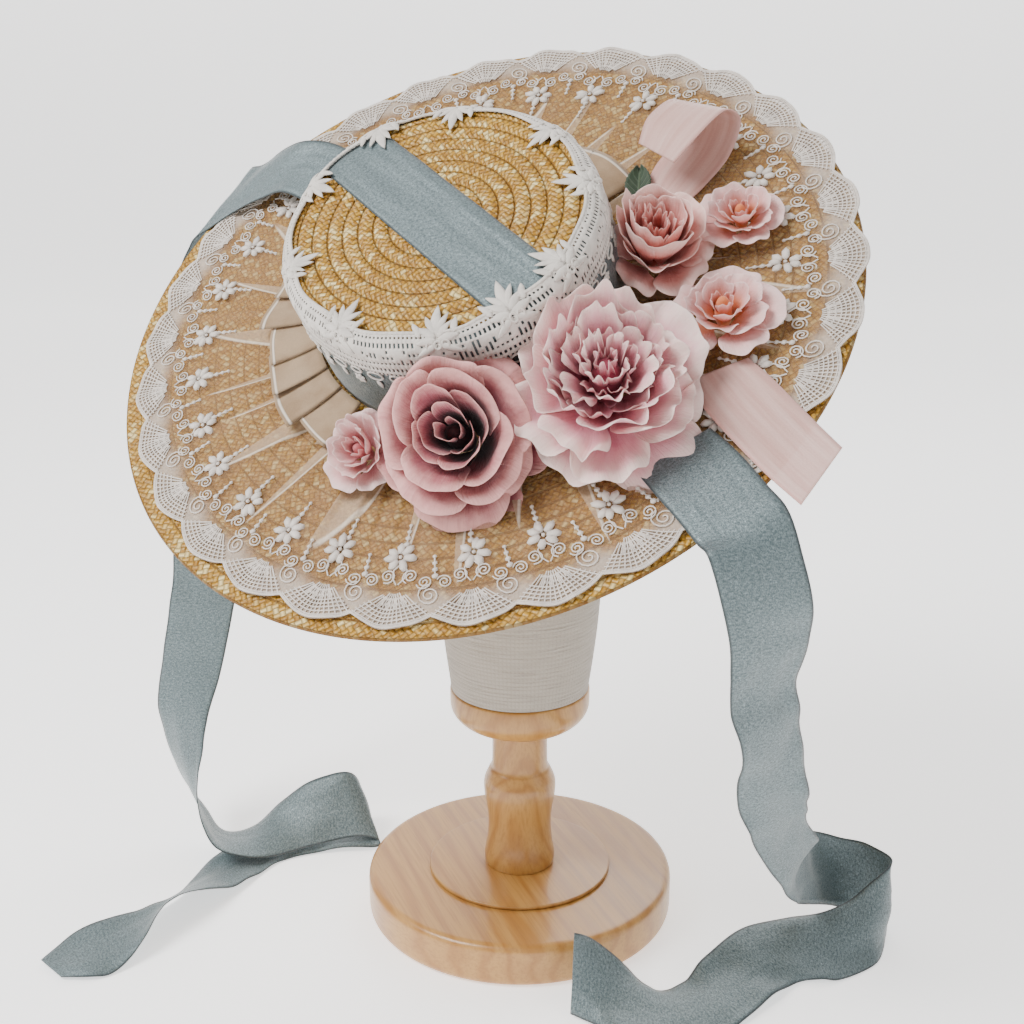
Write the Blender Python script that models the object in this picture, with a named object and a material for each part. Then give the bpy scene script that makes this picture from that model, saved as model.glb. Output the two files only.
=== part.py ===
"""A wide flat straw hat trimmed with lace, ribbons and cloth flowers, on its turned wooden stand.

Metres, +Z up. The origin is the middle of the stand's underside. The stand is built straight up
from it. The hat is built flat, round its own brim, and one empty then tips it onto the block.
"""

import math

import bmesh
import bpy
from mathutils import Matrix, Vector

# Stand
BASE_RADIUS = 0.090
BASE_HEIGHT = 0.0247
STEP_RADIUS = 0.0536
STEP_HEIGHT = 0.0022
POST_FOOT_RADIUS = 0.0203
POST_TOP = 0.1148
COLLAR_RADIUS = 0.0402
COLLAR_TOP = 0.1398
BLOCK_FOOT_RADIUS = 0.0395
BLOCK_RADIUS = 0.0460
BLOCK_SHOULDER = 0.3186
BLOCK_DOME = 0.120

# Hat
BRIM_RADIUS = 0.200
STRAW = 0.0024
CROWN_LONG = 0.0867
CROWN_SHORT = 0.0798
CROWN_TURN = math.radians(35.6)
CROWN_HEIGHT = 0.065
CROWN_ROUNDING = 0.009
HAT_CENTRE = Vector((-0.0243, -0.0098, 0.3587))
TIP_FORWARD = math.radians(37.87)
LEAN_LEFT = math.radians(-16.05)

# Cloth trims
CLOTH = 0.0010
GAP = 0.0003
BRIM_LACE_RADIUS = 0.1985
BRIM_LACE_SHIFT = (0.0045, 0.0020)
SCALLOPS = 30
SCALLOP_DEPTH = 0.0065
GATHERS = 50
GATHER_HEIGHT = 0.0022
BAND_FOOT = 0.006
BAND_TOP = 0.030
CROWN_LACE_FOOT = 0.0325
CROWN_MOTIFS = 12
EYELETS = 20
PLEATS = 15
PLEAT_ARC = (40, 228)
PLEAT_WIDTH = 0.031
RIBBON_WIDTH = 0.042
ORGANZA_WIDTH = 0.034
STRAP_TURN = math.radians(126.5)
PETAL = 0.0014
FLOWER_FOOT = 0.34

MATERIALS = {
    # name: (red, green, blue, roughness)
    "wood": (0.52, 0.31, 0.13, 0.35),
    "linen": (0.50, 0.45, 0.39, 0.90),
    "straw": (0.62, 0.43, 0.18, 0.60),
    "lace": (0.86, 0.82, 0.76, 0.85),
    "cream_cloth": (0.78, 0.68, 0.55, 0.80),
    "blue_ribbon": (0.20, 0.29, 0.32, 0.50),
    "pink_organza": (0.80, 0.55, 0.53, 0.60),
    "rose_petal": (0.62, 0.30, 0.34, 0.80),
    "pale_petal": (0.86, 0.58, 0.60, 0.80),
    "leaf": (0.05, 0.12, 0.06, 0.70),
}


def clear_scene():
    for obj in list(bpy.data.objects):
        bpy.data.objects.remove(obj, do_unlink=True)


def material(name):
    """The named finish, made once."""
    found = bpy.data.materials.get(name)
    if found:
        return found
    red, green, blue, roughness = MATERIALS[name]
    made = bpy.data.materials.new(name)
    made.use_nodes = True
    shader = made.node_tree.nodes["Principled BSDF"]
    shader.inputs["Base Color"].default_value = (red, green, blue, 1.0)
    shader.inputs["Roughness"].default_value = roughness
    shader.inputs["Metallic"].default_value = 0.0
    return made


def add_object(name, bm, finish, parent=None):
    mesh = bpy.data.meshes.new(name)
    bm.to_mesh(mesh)
    bm.free()
    mesh.shade_smooth()
    mesh.set_sharp_from_angle(angle=math.radians(40))
    mesh.materials.append(material(finish))
    obj = bpy.data.objects.new(name, mesh)
    bpy.context.scene.collection.objects.link(obj)
    obj.parent = parent
    return obj


def turned(name, profile, steps, finish):
    """A solid turned round Z. The profile is (radius, height) from the axis below to the axis above."""
    bm = bmesh.new()
    ring = [bm.verts.new((radius, 0.0, height)) for radius, height in profile]
    edges = [bm.edges.new(pair) for pair in zip(ring, ring[1:])]
    bmesh.ops.spin(
        bm, geom=ring + edges, axis=(0, 0, 1), cent=(0, 0, 0), angle=math.tau, steps=steps, use_merge=True
    )
    bmesh.ops.remove_doubles(bm, verts=bm.verts, dist=1e-6)
    bmesh.ops.recalc_face_normals(bm, faces=bm.faces)
    return add_object(name, bm, finish)


def grid(across, along, place):
    """A grid of cells whose corners go where place(u, v) says, u and v from 0 to 1."""
    bm = bmesh.new()
    bmesh.ops.create_grid(bm, x_segments=across, y_segments=along, size=0.5)
    for vert in bm.verts:
        vert.co = place(vert.co.x + 0.5, vert.co.y + 0.5)
    bmesh.ops.remove_doubles(bm, verts=bm.verts, dist=1e-6)
    return bm


def sheet(name, bm, thickness, finish, parent=None, side=0.0):
    """Gives a surface its wall: half to each side, or with side -1 all behind it."""
    obj = add_object(name, bm, finish, parent)
    wall = obj.modifiers.new("wall", "SOLIDIFY")
    wall.thickness = thickness
    wall.offset = side
    return obj


def blend(low, high, share):
    return low + (high - low) * share


def smoothstep(share):
    share = min(max(share, 0.0), 1.0)
    return share * share * (3.0 - 2.0 * share)


def polar(radius, angle, height):
    return Vector((radius * math.cos(angle), radius * math.sin(angle), height))


def catmull(rows, steps):
    """Rows of vectors, joined by a smooth curve with this many steps between neighbours."""
    ends = [rows[0]] + rows + [rows[-1]]
    found = []
    for before, start, stop, after in zip(ends, ends[1:], ends[2:], ends[3:]):
        for step in range(steps):
            t = step / steps
            found.append(
                0.5
                * (
                    2.0 * start
                    + (stop - before) * t
                    + (2.0 * before - 5.0 * start + 4.0 * stop - after) * t * t
                    + (3.0 * start - before - 3.0 * stop + after) * t * t * t
                )
            )
    found.append(rows[-1].copy())
    return found


def direction(turn, lean):
    """The unit vector at this turn round Z from +X and this lean up from the floor, in degrees."""
    turn, lean = math.radians(turn), math.radians(lean)
    return Vector((math.cos(lean) * math.cos(turn), math.cos(lean) * math.sin(turn), math.sin(lean)))


# Stand


def base_profile():
    rounding = 0.006
    return [
        (0.0, 0.0),
        (BASE_RADIUS - 0.002, 0.0),
        (BASE_RADIUS, 0.002),
        (BASE_RADIUS, BASE_HEIGHT - rounding),
        (BASE_RADIUS - 0.3 * rounding, BASE_HEIGHT - 0.3 * rounding),
        (BASE_RADIUS - rounding, BASE_HEIGHT),
        (0.0, BASE_HEIGHT),
    ]


def step_profile(foot):
    return [
        (0.0, foot),
        (STEP_RADIUS, foot),
        (STEP_RADIUS, foot + 0.6 * STEP_HEIGHT),
        (STEP_RADIUS - 0.001, foot + STEP_HEIGHT),
        (0.0, foot + STEP_HEIGHT),
    ]


def post_profile(foot):
    # share of the post's height, share of its foot's radius
    outline = (
        (0.000, 1.00),
        (0.060, 1.02),
        (0.200, 0.93),
        (0.340, 0.92),
        (0.500, 1.02),
        (0.600, 1.03),
        (0.680, 0.90),
        (0.740, 0.80),
        (1.000, 0.79),
    )
    height = POST_TOP - foot
    side = [(POST_FOOT_RADIUS * radius, foot + height * share) for share, radius in outline]
    return [(0.0, foot)] + side + [(0.0, POST_TOP)]


def collar_profile():
    foot = POST_TOP + GAP
    rounded = COLLAR_TOP - 0.009 - foot
    neck = 0.017
    side = [
        (
            neck + (COLLAR_RADIUS - neck) * math.sin(angle),
            foot + rounded * (1.0 - math.cos(angle)),
        )
        for angle in (math.radians(step * 22.5) for step in range(5))
    ]
    return [(0.0, foot)] + side + [(COLLAR_RADIUS, COLLAR_TOP), (0.0, COLLAR_TOP)]


def block_profile():
    foot = COLLAR_TOP + GAP
    flare = 0.040
    side = [
        (BLOCK_FOOT_RADIUS, foot),
        (blend(BLOCK_FOOT_RADIUS, BLOCK_RADIUS, 0.75), foot + flare),
        (BLOCK_RADIUS, foot + 2.0 * flare),
    ]
    dome = [
        (BLOCK_RADIUS * math.cos(angle), BLOCK_SHOULDER + BLOCK_DOME * math.sin(angle))
        for angle in (math.radians(step * 11.25) for step in range(9))
    ]
    return [(0.0, foot)] + side + dome[:-1] + [(0.0, BLOCK_SHOULDER + BLOCK_DOME)]


def build_stand():
    turned("stand_base", base_profile(), 36, "wood")
    step_foot = BASE_HEIGHT + GAP
    turned("stand_step", step_profile(step_foot), 32, "wood")
    turned("stand_post", post_profile(step_foot + STEP_HEIGHT + GAP), 18, "wood")
    turned("stand_collar", collar_profile(), 28, "wood")
    turned("stand_block", block_profile(), 22, "linen")


# Straw


def crown_radius(angle, extra=0.0):
    """The crown's outer oval, seen along the hat's axis."""
    along = (CROWN_LONG + extra) * math.cos(angle - CROWN_TURN)
    across = (CROWN_SHORT + extra) * math.sin(angle - CROWN_TURN)
    return (CROWN_LONG + extra) * (CROWN_SHORT + extra) / math.hypot(along, across)


def crown_point(angle, share, offset=0.0):
    """A point of the crown's outer face: share 0 to 1 climbs the side, 1 to 2 rounds the edge.

    From 2 to 3 it crosses the tip to its middle. The offset moves it straight off the face.
    """
    if share <= 1.0:
        height = blend(STRAW / 2 + GAP, CROWN_HEIGHT - CROWN_ROUNDING, share)
        return polar(crown_radius(angle) + offset, angle, height)
    if share <= 2.0:
        bend = math.radians(90.0 * (share - 1.0))
        drop = CROWN_ROUNDING + offset
        radius = crown_radius(angle) - CROWN_ROUNDING + drop * math.cos(bend)
        return polar(radius, angle, CROWN_HEIGHT - CROWN_ROUNDING + drop * math.sin(bend))
    radius = (crown_radius(angle) - CROWN_ROUNDING) * (3.0 - share)
    return polar(radius, angle, CROWN_HEIGHT + offset)


def build_crown(hat):
    shares = (0.0, 1.0, 1.5, 2.0, 3.0)

    def place(u, v):
        return crown_point(u * math.tau, shares[round(v * (len(shares) - 1))])

    surface = grid(40, len(shares) - 1, place)
    sheet("hat_crown", surface, STRAW, "straw", hat, side=-1.0)


def build_brim(hat):
    def place(u, v):
        angle = u * math.tau
        inner = crown_radius(angle) - STRAW
        return polar(blend(inner, BRIM_RADIUS, v), angle, 0.0)

    sheet("hat_brim", grid(56, 1, place), STRAW, "straw", hat)


# Lace and crown trims


def over_strap(x, y):
    """1 where the ribbon crosses the crown, falling to 0 on both sides of it."""
    beside = abs(-x * math.sin(STRAP_TURN) + y * math.cos(STRAP_TURN))
    return smoothstep((0.032 - beside) / 0.008)


def lace_top(radius):
    """The height of the brim lace's highest gathers at this radius."""
    share = (radius - CROWN_LONG) / (BRIM_LACE_RADIUS - CROWN_LONG)
    return STRAW / 2 + GAP + CLOTH + GATHER_HEIGHT * (1.0 - 0.75 * share)


def build_brim_lace(hat):
    foot = STRAW / 2 + GAP + CLOTH / 2

    def place(u, v):
        angle = u * math.tau
        inner = crown_radius(angle) + 0.003
        fan = abs(math.sin(0.5 * SCALLOPS * angle))
        outer = BRIM_LACE_RADIUS - SCALLOP_DEPTH * (1.0 - fan)
        ripple = 0.5 + 0.5 * math.cos(GATHERS * angle)
        height = foot + GATHER_HEIGHT * ripple * (1.0 - 0.75 * v)
        shift = Vector((*BRIM_LACE_SHIFT, 0.0)) * v
        return polar(blend(inner, outer, v), angle, height) + shift

    sheet("brim_lace", grid(SCALLOPS * 5, 1, place), CLOTH, "lace", hat)


def build_crown_band(hat):
    offset = GAP + CLOTH / 2
    side = CROWN_HEIGHT - CROWN_ROUNDING - STRAW / 2 - GAP

    def place(u, v):
        height = blend(BAND_FOOT, BAND_TOP, v)
        return crown_point(u * math.tau, (height - STRAW / 2 - GAP) / side, offset)

    sheet("crown_band", grid(48, 1, place), CLOTH, "blue_ribbon", hat)


def crown_lace_point(angle, share):
    """The lace's middle surface: over the crown, and over the ribbon where that crosses it."""
    flat = crown_point(angle, share)
    lift = GAP + CLOTH / 2 + (CLOTH + GAP) * over_strap(flat.x, flat.y)
    return crown_point(angle, share, lift)


def build_crown_lace(hat):
    """A band up the crown's side that turns over onto the tip, with pointed motifs and eyelets."""
    side = CROWN_HEIGHT - CROWN_ROUNDING - STRAW / 2 - GAP
    foot = (CROWN_LACE_FOOT - STRAW / 2 - GAP) / side
    shares = (foot, foot + 0.14, foot + 0.24, 1.0, 1.5, 2.0)
    cells = EYELETS * 3

    def place(u, v):
        angle = u * math.tau
        row = round(v * len(shares))
        if row < len(shares):
            return crown_lace_point(angle, shares[row])
        motif = 1.0 - abs((angle * CROWN_MOTIFS / math.tau) % 1.0 - 0.5) * 2.0
        return crown_lace_point(angle, 2.05 + 0.27 * motif**1.5)

    surface = grid(cells, len(shares), place)
    eyelets = []
    for face in surface.faces:
        middle = face.calc_center_median()
        column = math.floor((math.atan2(middle.y, middle.x) % math.tau) / math.tau * cells)
        low = crown_point(0.0, shares[1]).z
        high = crown_point(0.0, shares[2]).z
        if column % 3 == 1 and low < middle.z < high:
            eyelets.append(face)
    bmesh.ops.delete(surface, geom=eyelets, context="FACES")
    sheet("crown_lace", surface, CLOTH, "lace", hat)


def build_pleats(hat):
    """Box pleats that stand out round the crown's foot, where no flower hides them."""
    foot = lace_top(CROWN_LONG) + GAP + CLOTH / 2
    depth = 0.0032
    start, stop = (math.radians(angle) for angle in PLEAT_ARC)

    def place(u, v):
        corner = round(u * 4 * PLEATS)
        angle = blend(start, stop, (corner + (0.35 if corner % 2 else -0.35)) / (4 * PLEATS))
        raised = depth if corner % 4 in (1, 2) else 0.0
        inner = crown_radius(angle) + 0.0030
        height = blend(foot + 0.006, foot, v) + raised * (0.4 + 0.6 * v)
        return polar(inner + PLEAT_WIDTH * v, angle, height)

    sheet("pleated_trim", grid(4 * PLEATS, 1, place), CLOTH, "cream_cloth", hat)


def build_crown_ribbon(hat):
    """The ribbon across the tip, down the crown's side at both ends."""
    ahead = Vector((math.cos(STRAP_TURN), math.sin(STRAP_TURN), 0.0))
    beside = Vector((ahead.y, -ahead.x, 0.0))
    # where along the ribbon: below 1 a share of the way over the tip, then down the face
    stations = (-1.9, -1.5, -1.25, -1.0, 0.0, 1.0, 1.25, 1.5, 1.9)

    def edge_angle(sideways, sign):
        """The turn at which a line beside the middle one reaches the edge of the tip."""
        reach = CROWN_LONG
        for _ in range(6):
            point = ahead * (sign * reach) + beside * sideways
            radius = crown_radius(math.atan2(point.y, point.x))
            reach = math.sqrt(radius**2 - sideways**2)
        return math.atan2(point.y, point.x)

    def place(u, v):
        sideways = (u - 0.5) * RIBBON_WIDTH
        station = stations[round(v * (len(stations) - 1))]
        sign = math.copysign(1.0, station)
        angle = edge_angle(sideways, sign)
        offset = GAP + CLOTH / 2
        edge = crown_point(angle, 2.0, offset)
        if abs(station) <= 1.0:
            far = crown_point(edge_angle(sideways, -sign), 2.0, offset)
            return far.lerp(edge, 0.5 + 0.5 * abs(station))
        down = (abs(station) - 1.0) / 0.5
        if down <= 1.0:
            return crown_point(angle, 2.0 - down, offset)
        return crown_point(angle, 1.0 - 0.45 * (down - 1.0), offset)

    sheet("crown_ribbon", grid(4, len(stations) - 1, place), CLOTH, "blue_ribbon", hat)


# Ribbons

# Each row is one cross-section: the middle's place in mm, then the way the ribbon's width runs,
# as its turn from +X and its lean up, in degrees, and the width's share of the full ribbon.

LEFT_OVER_BRIM = (
    # x, y, height above the brim, turn, lean, width
    (-52.7, 71.3, 31.0, 36.5, 0, 1.0),
    (-57.0, 77.5, 24.0, 36.5, 0, 1.0),
    (-66.0, 89.0, 18.5, 36.5, 0, 1.0),
    (-82.0, 107.0, 17.0, 37.0, 2, 1.0),
    (-100.0, 122.0, 17.5, 42.0, 6, 1.0),
    (-118.0, 128.0, 15.0, 48.0, 16, 1.0),
    (-136.0, 129.0, 9.5, 52.0, 9, 1.1),
    (-151.0, 127.0, 5.4, 53.0, 1, 1.2),
    (-161.0, 127.5, 1.8, 52.0, 0, 1.3),
)

LEFT_TAIL = (
    # x, y, z, turn, lean, width
    (-183.0, 116.0, 392.0, 41, 34, 1.25),
    (-187.0, 112.0, 368.0, 36, 18, 1.1),
    (-191.0, 106.0, 336.0, 26, 6, 1.0),
    (-195.0, 98.0, 270.0, 12, 0, 1.0),
    (-198.0, 92.0, 184.0, 0, 0, 1.0),
    (-203.0, 90.0, 152.0, -5, 0, 1.0),
    (-210.0, 86.0, 118.0, -14, 0, 1.0),
    (-217.0, 80.0, 84.0, -28, 4, 1.0),
    (-217.0, 74.0, 61.0, -46, 9, 1.0),
    (-212.0, 66.0, 41.0, -64, 14, 1.0),
    (-203.0, 56.0, 25.0, -78, 16, 1.0),
    (-190.0, 47.0, 13.5, -86, 14, 1.0),
    (-172.0, 50.0, 10.0, -89, 1, 1.0),
    (-155.0, 58.0, 14.0, -88, -24, 1.0),
    (-138.0, 64.0, 20.0, -84, -46, 1.0),
    (-120.0, 68.0, 24.0, -76, -54, 1.0),
    (-107.0, 69.0, 25.5, -66, -52, 1.0),
    (-99.0, 70.0, 21.5, -60, -45, 1.0),
    (-97.0, 72.0, 13.5, -68, -31, 1.0),
    (-103.0, 74.0, 7.2, -82, -15, 1.0),
    (-117.0, 73.0, 4.2, -90, -7, 1.0),
    (-134.0, 69.0, 3.3, -92, -5, 1.0),
    (-153.0, 60.0, 2.8, -85, -4, 1.0),
    (-170.0, 42.0, 2.6, -68, -3, 1.0),
    (-184.0, 20.0, 4.2, -58, 3, 1.0),
    (-194.0, -1.0, 9.8, -66, 18, 1.0),
    (-204.0, -22.0, 12.8, -80, 30, 1.0),
    (-215.0, -41.0, 8.5, -76, 8, 1.0),
    (-229.0, -58.0, 7.0, -70, -12, 1.0),
    (-244.0, -67.0, 5.0, -58, -8, 0.95),
    (-259.0, -77.0, 2.5, -42, -3, 0.5),
)

RIGHT_OVER_BRIM = (
    # x, y, height above the brim, turn, lean, width
    (99.0, -120.0, 5.2, 25, 0, 0.95),
    (109.0, -136.0, 5.2, 21, 0, 1.0),
    (119.0, -154.0, 5.0, 16, 0, 1.0),
    (126.5, -168.0, 4.0, 14, 0, 1.0),
)

RIGHT_TAIL = (
    # x, y, z, turn, lean, width
    (101.0, -175.0, 276.0, 10, 0, 1.0),
    (107.0, -176.0, 254.0, 16, 0, 1.0),
    (111.0, -169.0, 228.0, 26, 0, 1.0),
    (111.0, -162.0, 206.0, 36, 0, 1.0),
    (117.0, -153.0, 176.0, 36, 0, 1.0),
    (122.0, -139.0, 140.0, 36, 0, 1.0),
    (134.0, -117.0, 107.0, 44, 4, 1.0),
    (146.0, -92.0, 78.0, 55, 12, 1.0),
    (154.0, -62.0, 57.0, 72, 28, 1.0),
    (167.0, -31.0, 40.0, 92, 48, 1.0),
    (185.0, -12.0, 26.5, 98, 74, 1.0),
    (204.0, -14.0, 23.0, 84, 84, 1.0),
    (213.0, -32.0, 21.5, 80, 80, 1.0),
    (199.0, -53.0, 16.5, 95, 50, 1.0),
    (177.0, -64.0, 11.0, 88, 26, 1.0),
    (158.0, -66.0, 10.0, 108, 22, 1.0),
    (140.0, -71.0, 9.5, 130, 21, 1.0),
    (121.0, -87.0, 7.5, 142, 14, 1.0),
    (100.0, -107.0, 4.0, 122, 3, 1.0),
    (76.0, -118.0, 3.5, 98, 1, 1.0),
    (54.0, -111.0, 9.5, 74, 18, 1.0),
    (38.0, -107.0, 17.5, 82, 45, 1.0),
    (28.0, -107.0, 21.5, 82, 68, 1.0),
)

ORGANZA_TAIL = (
    # x, y, height above the brim, turn, lean, width
    (123.0, -78.0, 5.4, 14, 0, 0.9),
    (131.0, -94.0, 5.3, 22, 0, 1.0),
    (142.0, -114.0, 5.2, 32, 0, 1.0),
    (153.0, -133.0, 5.2, 42, 0, 1.0),
    (163.0, -150.0, 7.0, 52, 0, 1.0),
)

ORGANZA_LOOP = (
    # x, y, height above the brim, turn, lean, width
    (104.0, 46.0, 5.0, -48, 0, 0.8),
    (114.0, 60.0, 5.0, -44, 0, 1.0),
    (127.0, 75.0, 7.5, -40, 4, 1.1),
    (136.0, 86.0, 18.0, -40, 8, 1.1),
    (130.0, 84.0, 29.0, -42, 8, 1.1),
    (116.0, 68.0, 32.0, -46, 4, 1.05),
    (106.0, 55.0, 28.0, -50, 0, 0.8),
)


def sections(rows, width, matrix=None):
    """One vector of six for each row: the section's middle, then its half width as a vector."""
    found = []
    for x, y, z, turn, lean, share in rows:
        middle = Vector((x, y, z)) / 1000.0
        reach = direction(turn, lean) * (0.5 * width * share)
        if matrix:
            middle = matrix @ middle
            reach = matrix.to_3x3() @ reach
        found.append(Vector((*middle, *reach)))
    return found


def ribbon(name, rows, steps, finish, parent=None):
    """A flat ribbon swept through the sections, two cells wide."""
    curve = catmull(rows, steps)

    def place(u, v):
        section = curve[round(v * (len(curve) - 1))]
        return Vector(section[:3]) + Vector(section[3:]) * (2.0 * u - 1.0)

    sheet(name, grid(2, len(curve) - 1, place), CLOTH, finish, parent)


def build_ribbons(hat, hat_matrix):
    over = sections(LEFT_OVER_BRIM, RIBBON_WIDTH, hat_matrix)
    ribbon("ribbon_left", over + sections(LEFT_TAIL, RIBBON_WIDTH), 2, "blue_ribbon")
    over = sections(RIGHT_OVER_BRIM, RIBBON_WIDTH, hat_matrix)
    ribbon("ribbon_right", over + sections(RIGHT_TAIL, RIBBON_WIDTH), 2, "blue_ribbon")
    ribbon("organza_tail", sections(ORGANZA_TAIL, ORGANZA_WIDTH), 2, "pink_organza", hat)
    ribbon("organza_loop", sections(ORGANZA_LOOP, ORGANZA_WIDTH), 2, "pink_organza", hat)


# Flowers

# Each whorl is a ring of petals: where its rims reach, how high, where the hollow inside it lies,
# all as shares of the flower's radius and height, then its petals and the lobes' strength and turn.

ROSE = (
    # rim, rim height, hollow, hollow height, petals, lobe, turn
    (1.00, 0.50, 0.66, 0.34, 5, 0.10, 0),
    (0.78, 0.86, 0.48, 0.56, 5, 0.07, 40),
    (0.50, 1.00, 0.30, 0.70, 4, 0.06, 10),
    (0.26, 1.02, 0.12, 0.84, 3, 0.05, 50),
)

PEONY = (
    # rim, rim height, hollow, hollow height, petals, lobe, turn
    (1.00, 0.42, 0.74, 0.30, 8, 0.10, 0),
    (0.86, 0.72, 0.60, 0.52, 7, 0.08, 20),
    (0.64, 0.94, 0.42, 0.70, 6, 0.08, 50),
    (0.36, 1.02, 0.16, 0.84, 5, 0.08, 10),
)

CABBAGE_ROSE = (
    # rim, rim height, hollow, hollow height, petals, lobe, turn
    (1.00, 0.62, 0.68, 0.42, 6, 0.08, 0),
    (0.74, 0.96, 0.46, 0.66, 5, 0.06, 30),
    (0.42, 1.00, 0.18, 0.80, 5, 0.05, 0),
)

BLOSSOM = (
    # rim, rim height, hollow, hollow height, petals, lobe, turn
    (1.00, 0.72, 0.62, 0.46, 5, 0.14, 0),
    (0.60, 1.00, 0.26, 0.66, 5, 0.10, 36),
)

FLOWERS = {
    # name: whorls, heart x, y, height, radius, settled (mm), tip outwards, squeeze, steps, finish
    "flower_rose": (ROSE, 3.8, -118.5, 46.5, 34.0, 0.6, 28, 0.40, 28, "rose_petal"),
    "flower_peony": (PEONY, 79.5, -98.5, 53.0, 42.0, 0.4, 18, 0.36, 32, "pale_petal"),
    "flower_cabbage_rose": (CABBAGE_ROSE, 105.0, -4.0, 41.0, 26.0, 0.2, 14, 0.34, 24, "pale_petal"),
    "flower_bud": (BLOSSOM, -52.0, -101.0, 27.0, 18.0, 0.8, 22, 0.10, 20, "pale_petal"),
    "flower_blossom_low": (BLOSSOM, 131.0, -50.0, 24.0, 22.0, 0.0, 8, 0.0, 20, "pale_petal"),
    "flower_blossom_high": (BLOSSOM, 144.0, 14.0, 20.0, 18.0, 0.2, 4, 0.0, 20, "pale_petal"),
}


def petal_rings(whorls, rim):
    """Rings from the foot to the heart: radius, height, petals, lobe and turn, as shares."""
    rings = [(0.0, 0.0, 1, 0.0, 0), (FLOWER_FOOT, 0.0, 1, 0.0, 0)]
    for place, (reach, top, hollow, hollow_top, petals, lobe, turn) in enumerate(whorls):
        if place == 0:
            rings.append((blend(FLOWER_FOOT, reach, 0.62), 0.4 * top, petals, 0.4 * lobe, turn))
        rings.append((reach, top, petals, lobe, turn))
        rings.append((reach - rim, top + 0.4 * rim, petals, lobe, turn))
        rings.append((hollow, hollow_top, petals, 0.3 * lobe, turn))
    rings.append((0.0, whorls[-1][3] + 0.04, 1, 0.0, 0))
    return rings


def flower(name, hat, whorls, heart, radius, settled, tip, squeeze, steps, finish):
    """One closed body of petal whorls, tipped outwards, with its foot on the brim's lace.

    Each whorl climbs to a thin rim and drops into a hollow. Petals on the crown's side are shorter.
    It settles this far down between two of the lace's gathers.
    """
    rings = petal_rings(whorls, PETAL / radius)
    tip = math.radians(tip)
    foot_radius = FLOWER_FOOT * radius
    reach = math.hypot(heart.x, heart.y) - heart.z * math.tan(tip) - foot_radius
    foot_height = lace_top(reach) + GAP + foot_radius * math.sin(tip) - settled
    depth = (heart.z - foot_height) / math.cos(tip)
    inward = math.atan2(-heart.y, -heart.x)

    def place(u, v):
        share, height, petals, lobe, turn = rings[round(v * (len(rings) - 1))]
        angle = u * math.tau
        wave = lobe * math.cos(petals * (angle - math.radians(turn)))
        reach = share * (1.0 + wave) * (1.0 - squeeze * max(0.0, math.cos(angle - inward)))
        return polar(radius * reach, angle, depth * height * (1.0 - 0.5 * wave))

    outward = Vector((heart.x, heart.y, 0.0)).normalized()
    matrix = Matrix.Rotation(tip, 4, Vector((0, 0, 1)).cross(outward))
    obj = add_object(name, grid(steps, len(rings) - 1, place), finish, hat)
    foot = heart - matrix @ Vector((0, 0, depth))
    obj.matrix_local = Matrix.Translation(foot) @ matrix


def build_flowers(hat):
    for name, (whorls, x, y, height, radius, settled, *shape) in FLOWERS.items():
        heart = Vector((x, y, height)) / 1000.0
        flower(name, hat, whorls, heart, radius / 1000.0, settled / 1000.0, *shape)


def build_leaf(hat):
    """The dark leaf that shows between the cabbage rose and the organza."""
    length, width = 0.026, 0.014
    start = Vector((0.091, 0.045, 0.0052))
    ahead = direction(84, 3)
    beside = direction(-6, 0)

    def place(u, v):
        half = width * math.sin(math.pi * (0.08 + 0.84 * v)) ** 0.8
        keel = 0.003 * abs(2.0 * u - 1.0)
        return start + ahead * (length * v) + beside * (half * (u - 0.5)) + Vector((0, 0, keel))

    sheet("leaf", grid(2, 5, place), CLOTH, "leaf", hat)


def main():
    clear_scene()
    build_stand()
    hat = bpy.data.objects.new("hat_place", None)
    bpy.context.scene.collection.objects.link(hat)
    tilt = Matrix.Rotation(TIP_FORWARD, 4, "X") @ Matrix.Rotation(LEAN_LEFT, 4, "Y")
    hat.matrix_world = Matrix.Translation(HAT_CENTRE) @ tilt
    build_crown(hat)
    build_brim(hat)
    build_brim_lace(hat)
    build_crown_band(hat)
    build_crown_lace(hat)
    build_pleats(hat)
    build_crown_ribbon(hat)
    build_ribbons(hat, hat.matrix_world.copy())
    build_flowers(hat)
    build_leaf(hat)


main()
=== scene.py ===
"""Looks for a straw hat trimmed with lace, ribbons and cloth flowers, on its turned wooden stand.

Metres, +Z up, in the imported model's frame. The hat's own pieces are made flat round its brim, in
the hat's frame, and HAT then tips them onto the block.
"""

import math
import random

import bmesh
import bpy
from mathutils import Matrix, Vector, noise


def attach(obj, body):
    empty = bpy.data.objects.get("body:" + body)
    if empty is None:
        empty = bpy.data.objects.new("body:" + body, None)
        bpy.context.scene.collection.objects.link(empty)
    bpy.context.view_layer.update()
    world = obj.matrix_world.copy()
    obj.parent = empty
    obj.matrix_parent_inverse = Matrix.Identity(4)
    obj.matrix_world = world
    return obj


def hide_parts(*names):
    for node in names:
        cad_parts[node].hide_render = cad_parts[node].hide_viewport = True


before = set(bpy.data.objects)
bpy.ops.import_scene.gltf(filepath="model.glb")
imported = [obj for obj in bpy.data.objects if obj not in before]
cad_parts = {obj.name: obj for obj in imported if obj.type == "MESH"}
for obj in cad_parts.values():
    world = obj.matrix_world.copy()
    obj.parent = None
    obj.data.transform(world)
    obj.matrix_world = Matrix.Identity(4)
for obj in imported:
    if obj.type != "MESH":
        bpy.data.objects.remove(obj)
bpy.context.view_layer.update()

# The room left between two pieces
GAP = 0.0003

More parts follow.
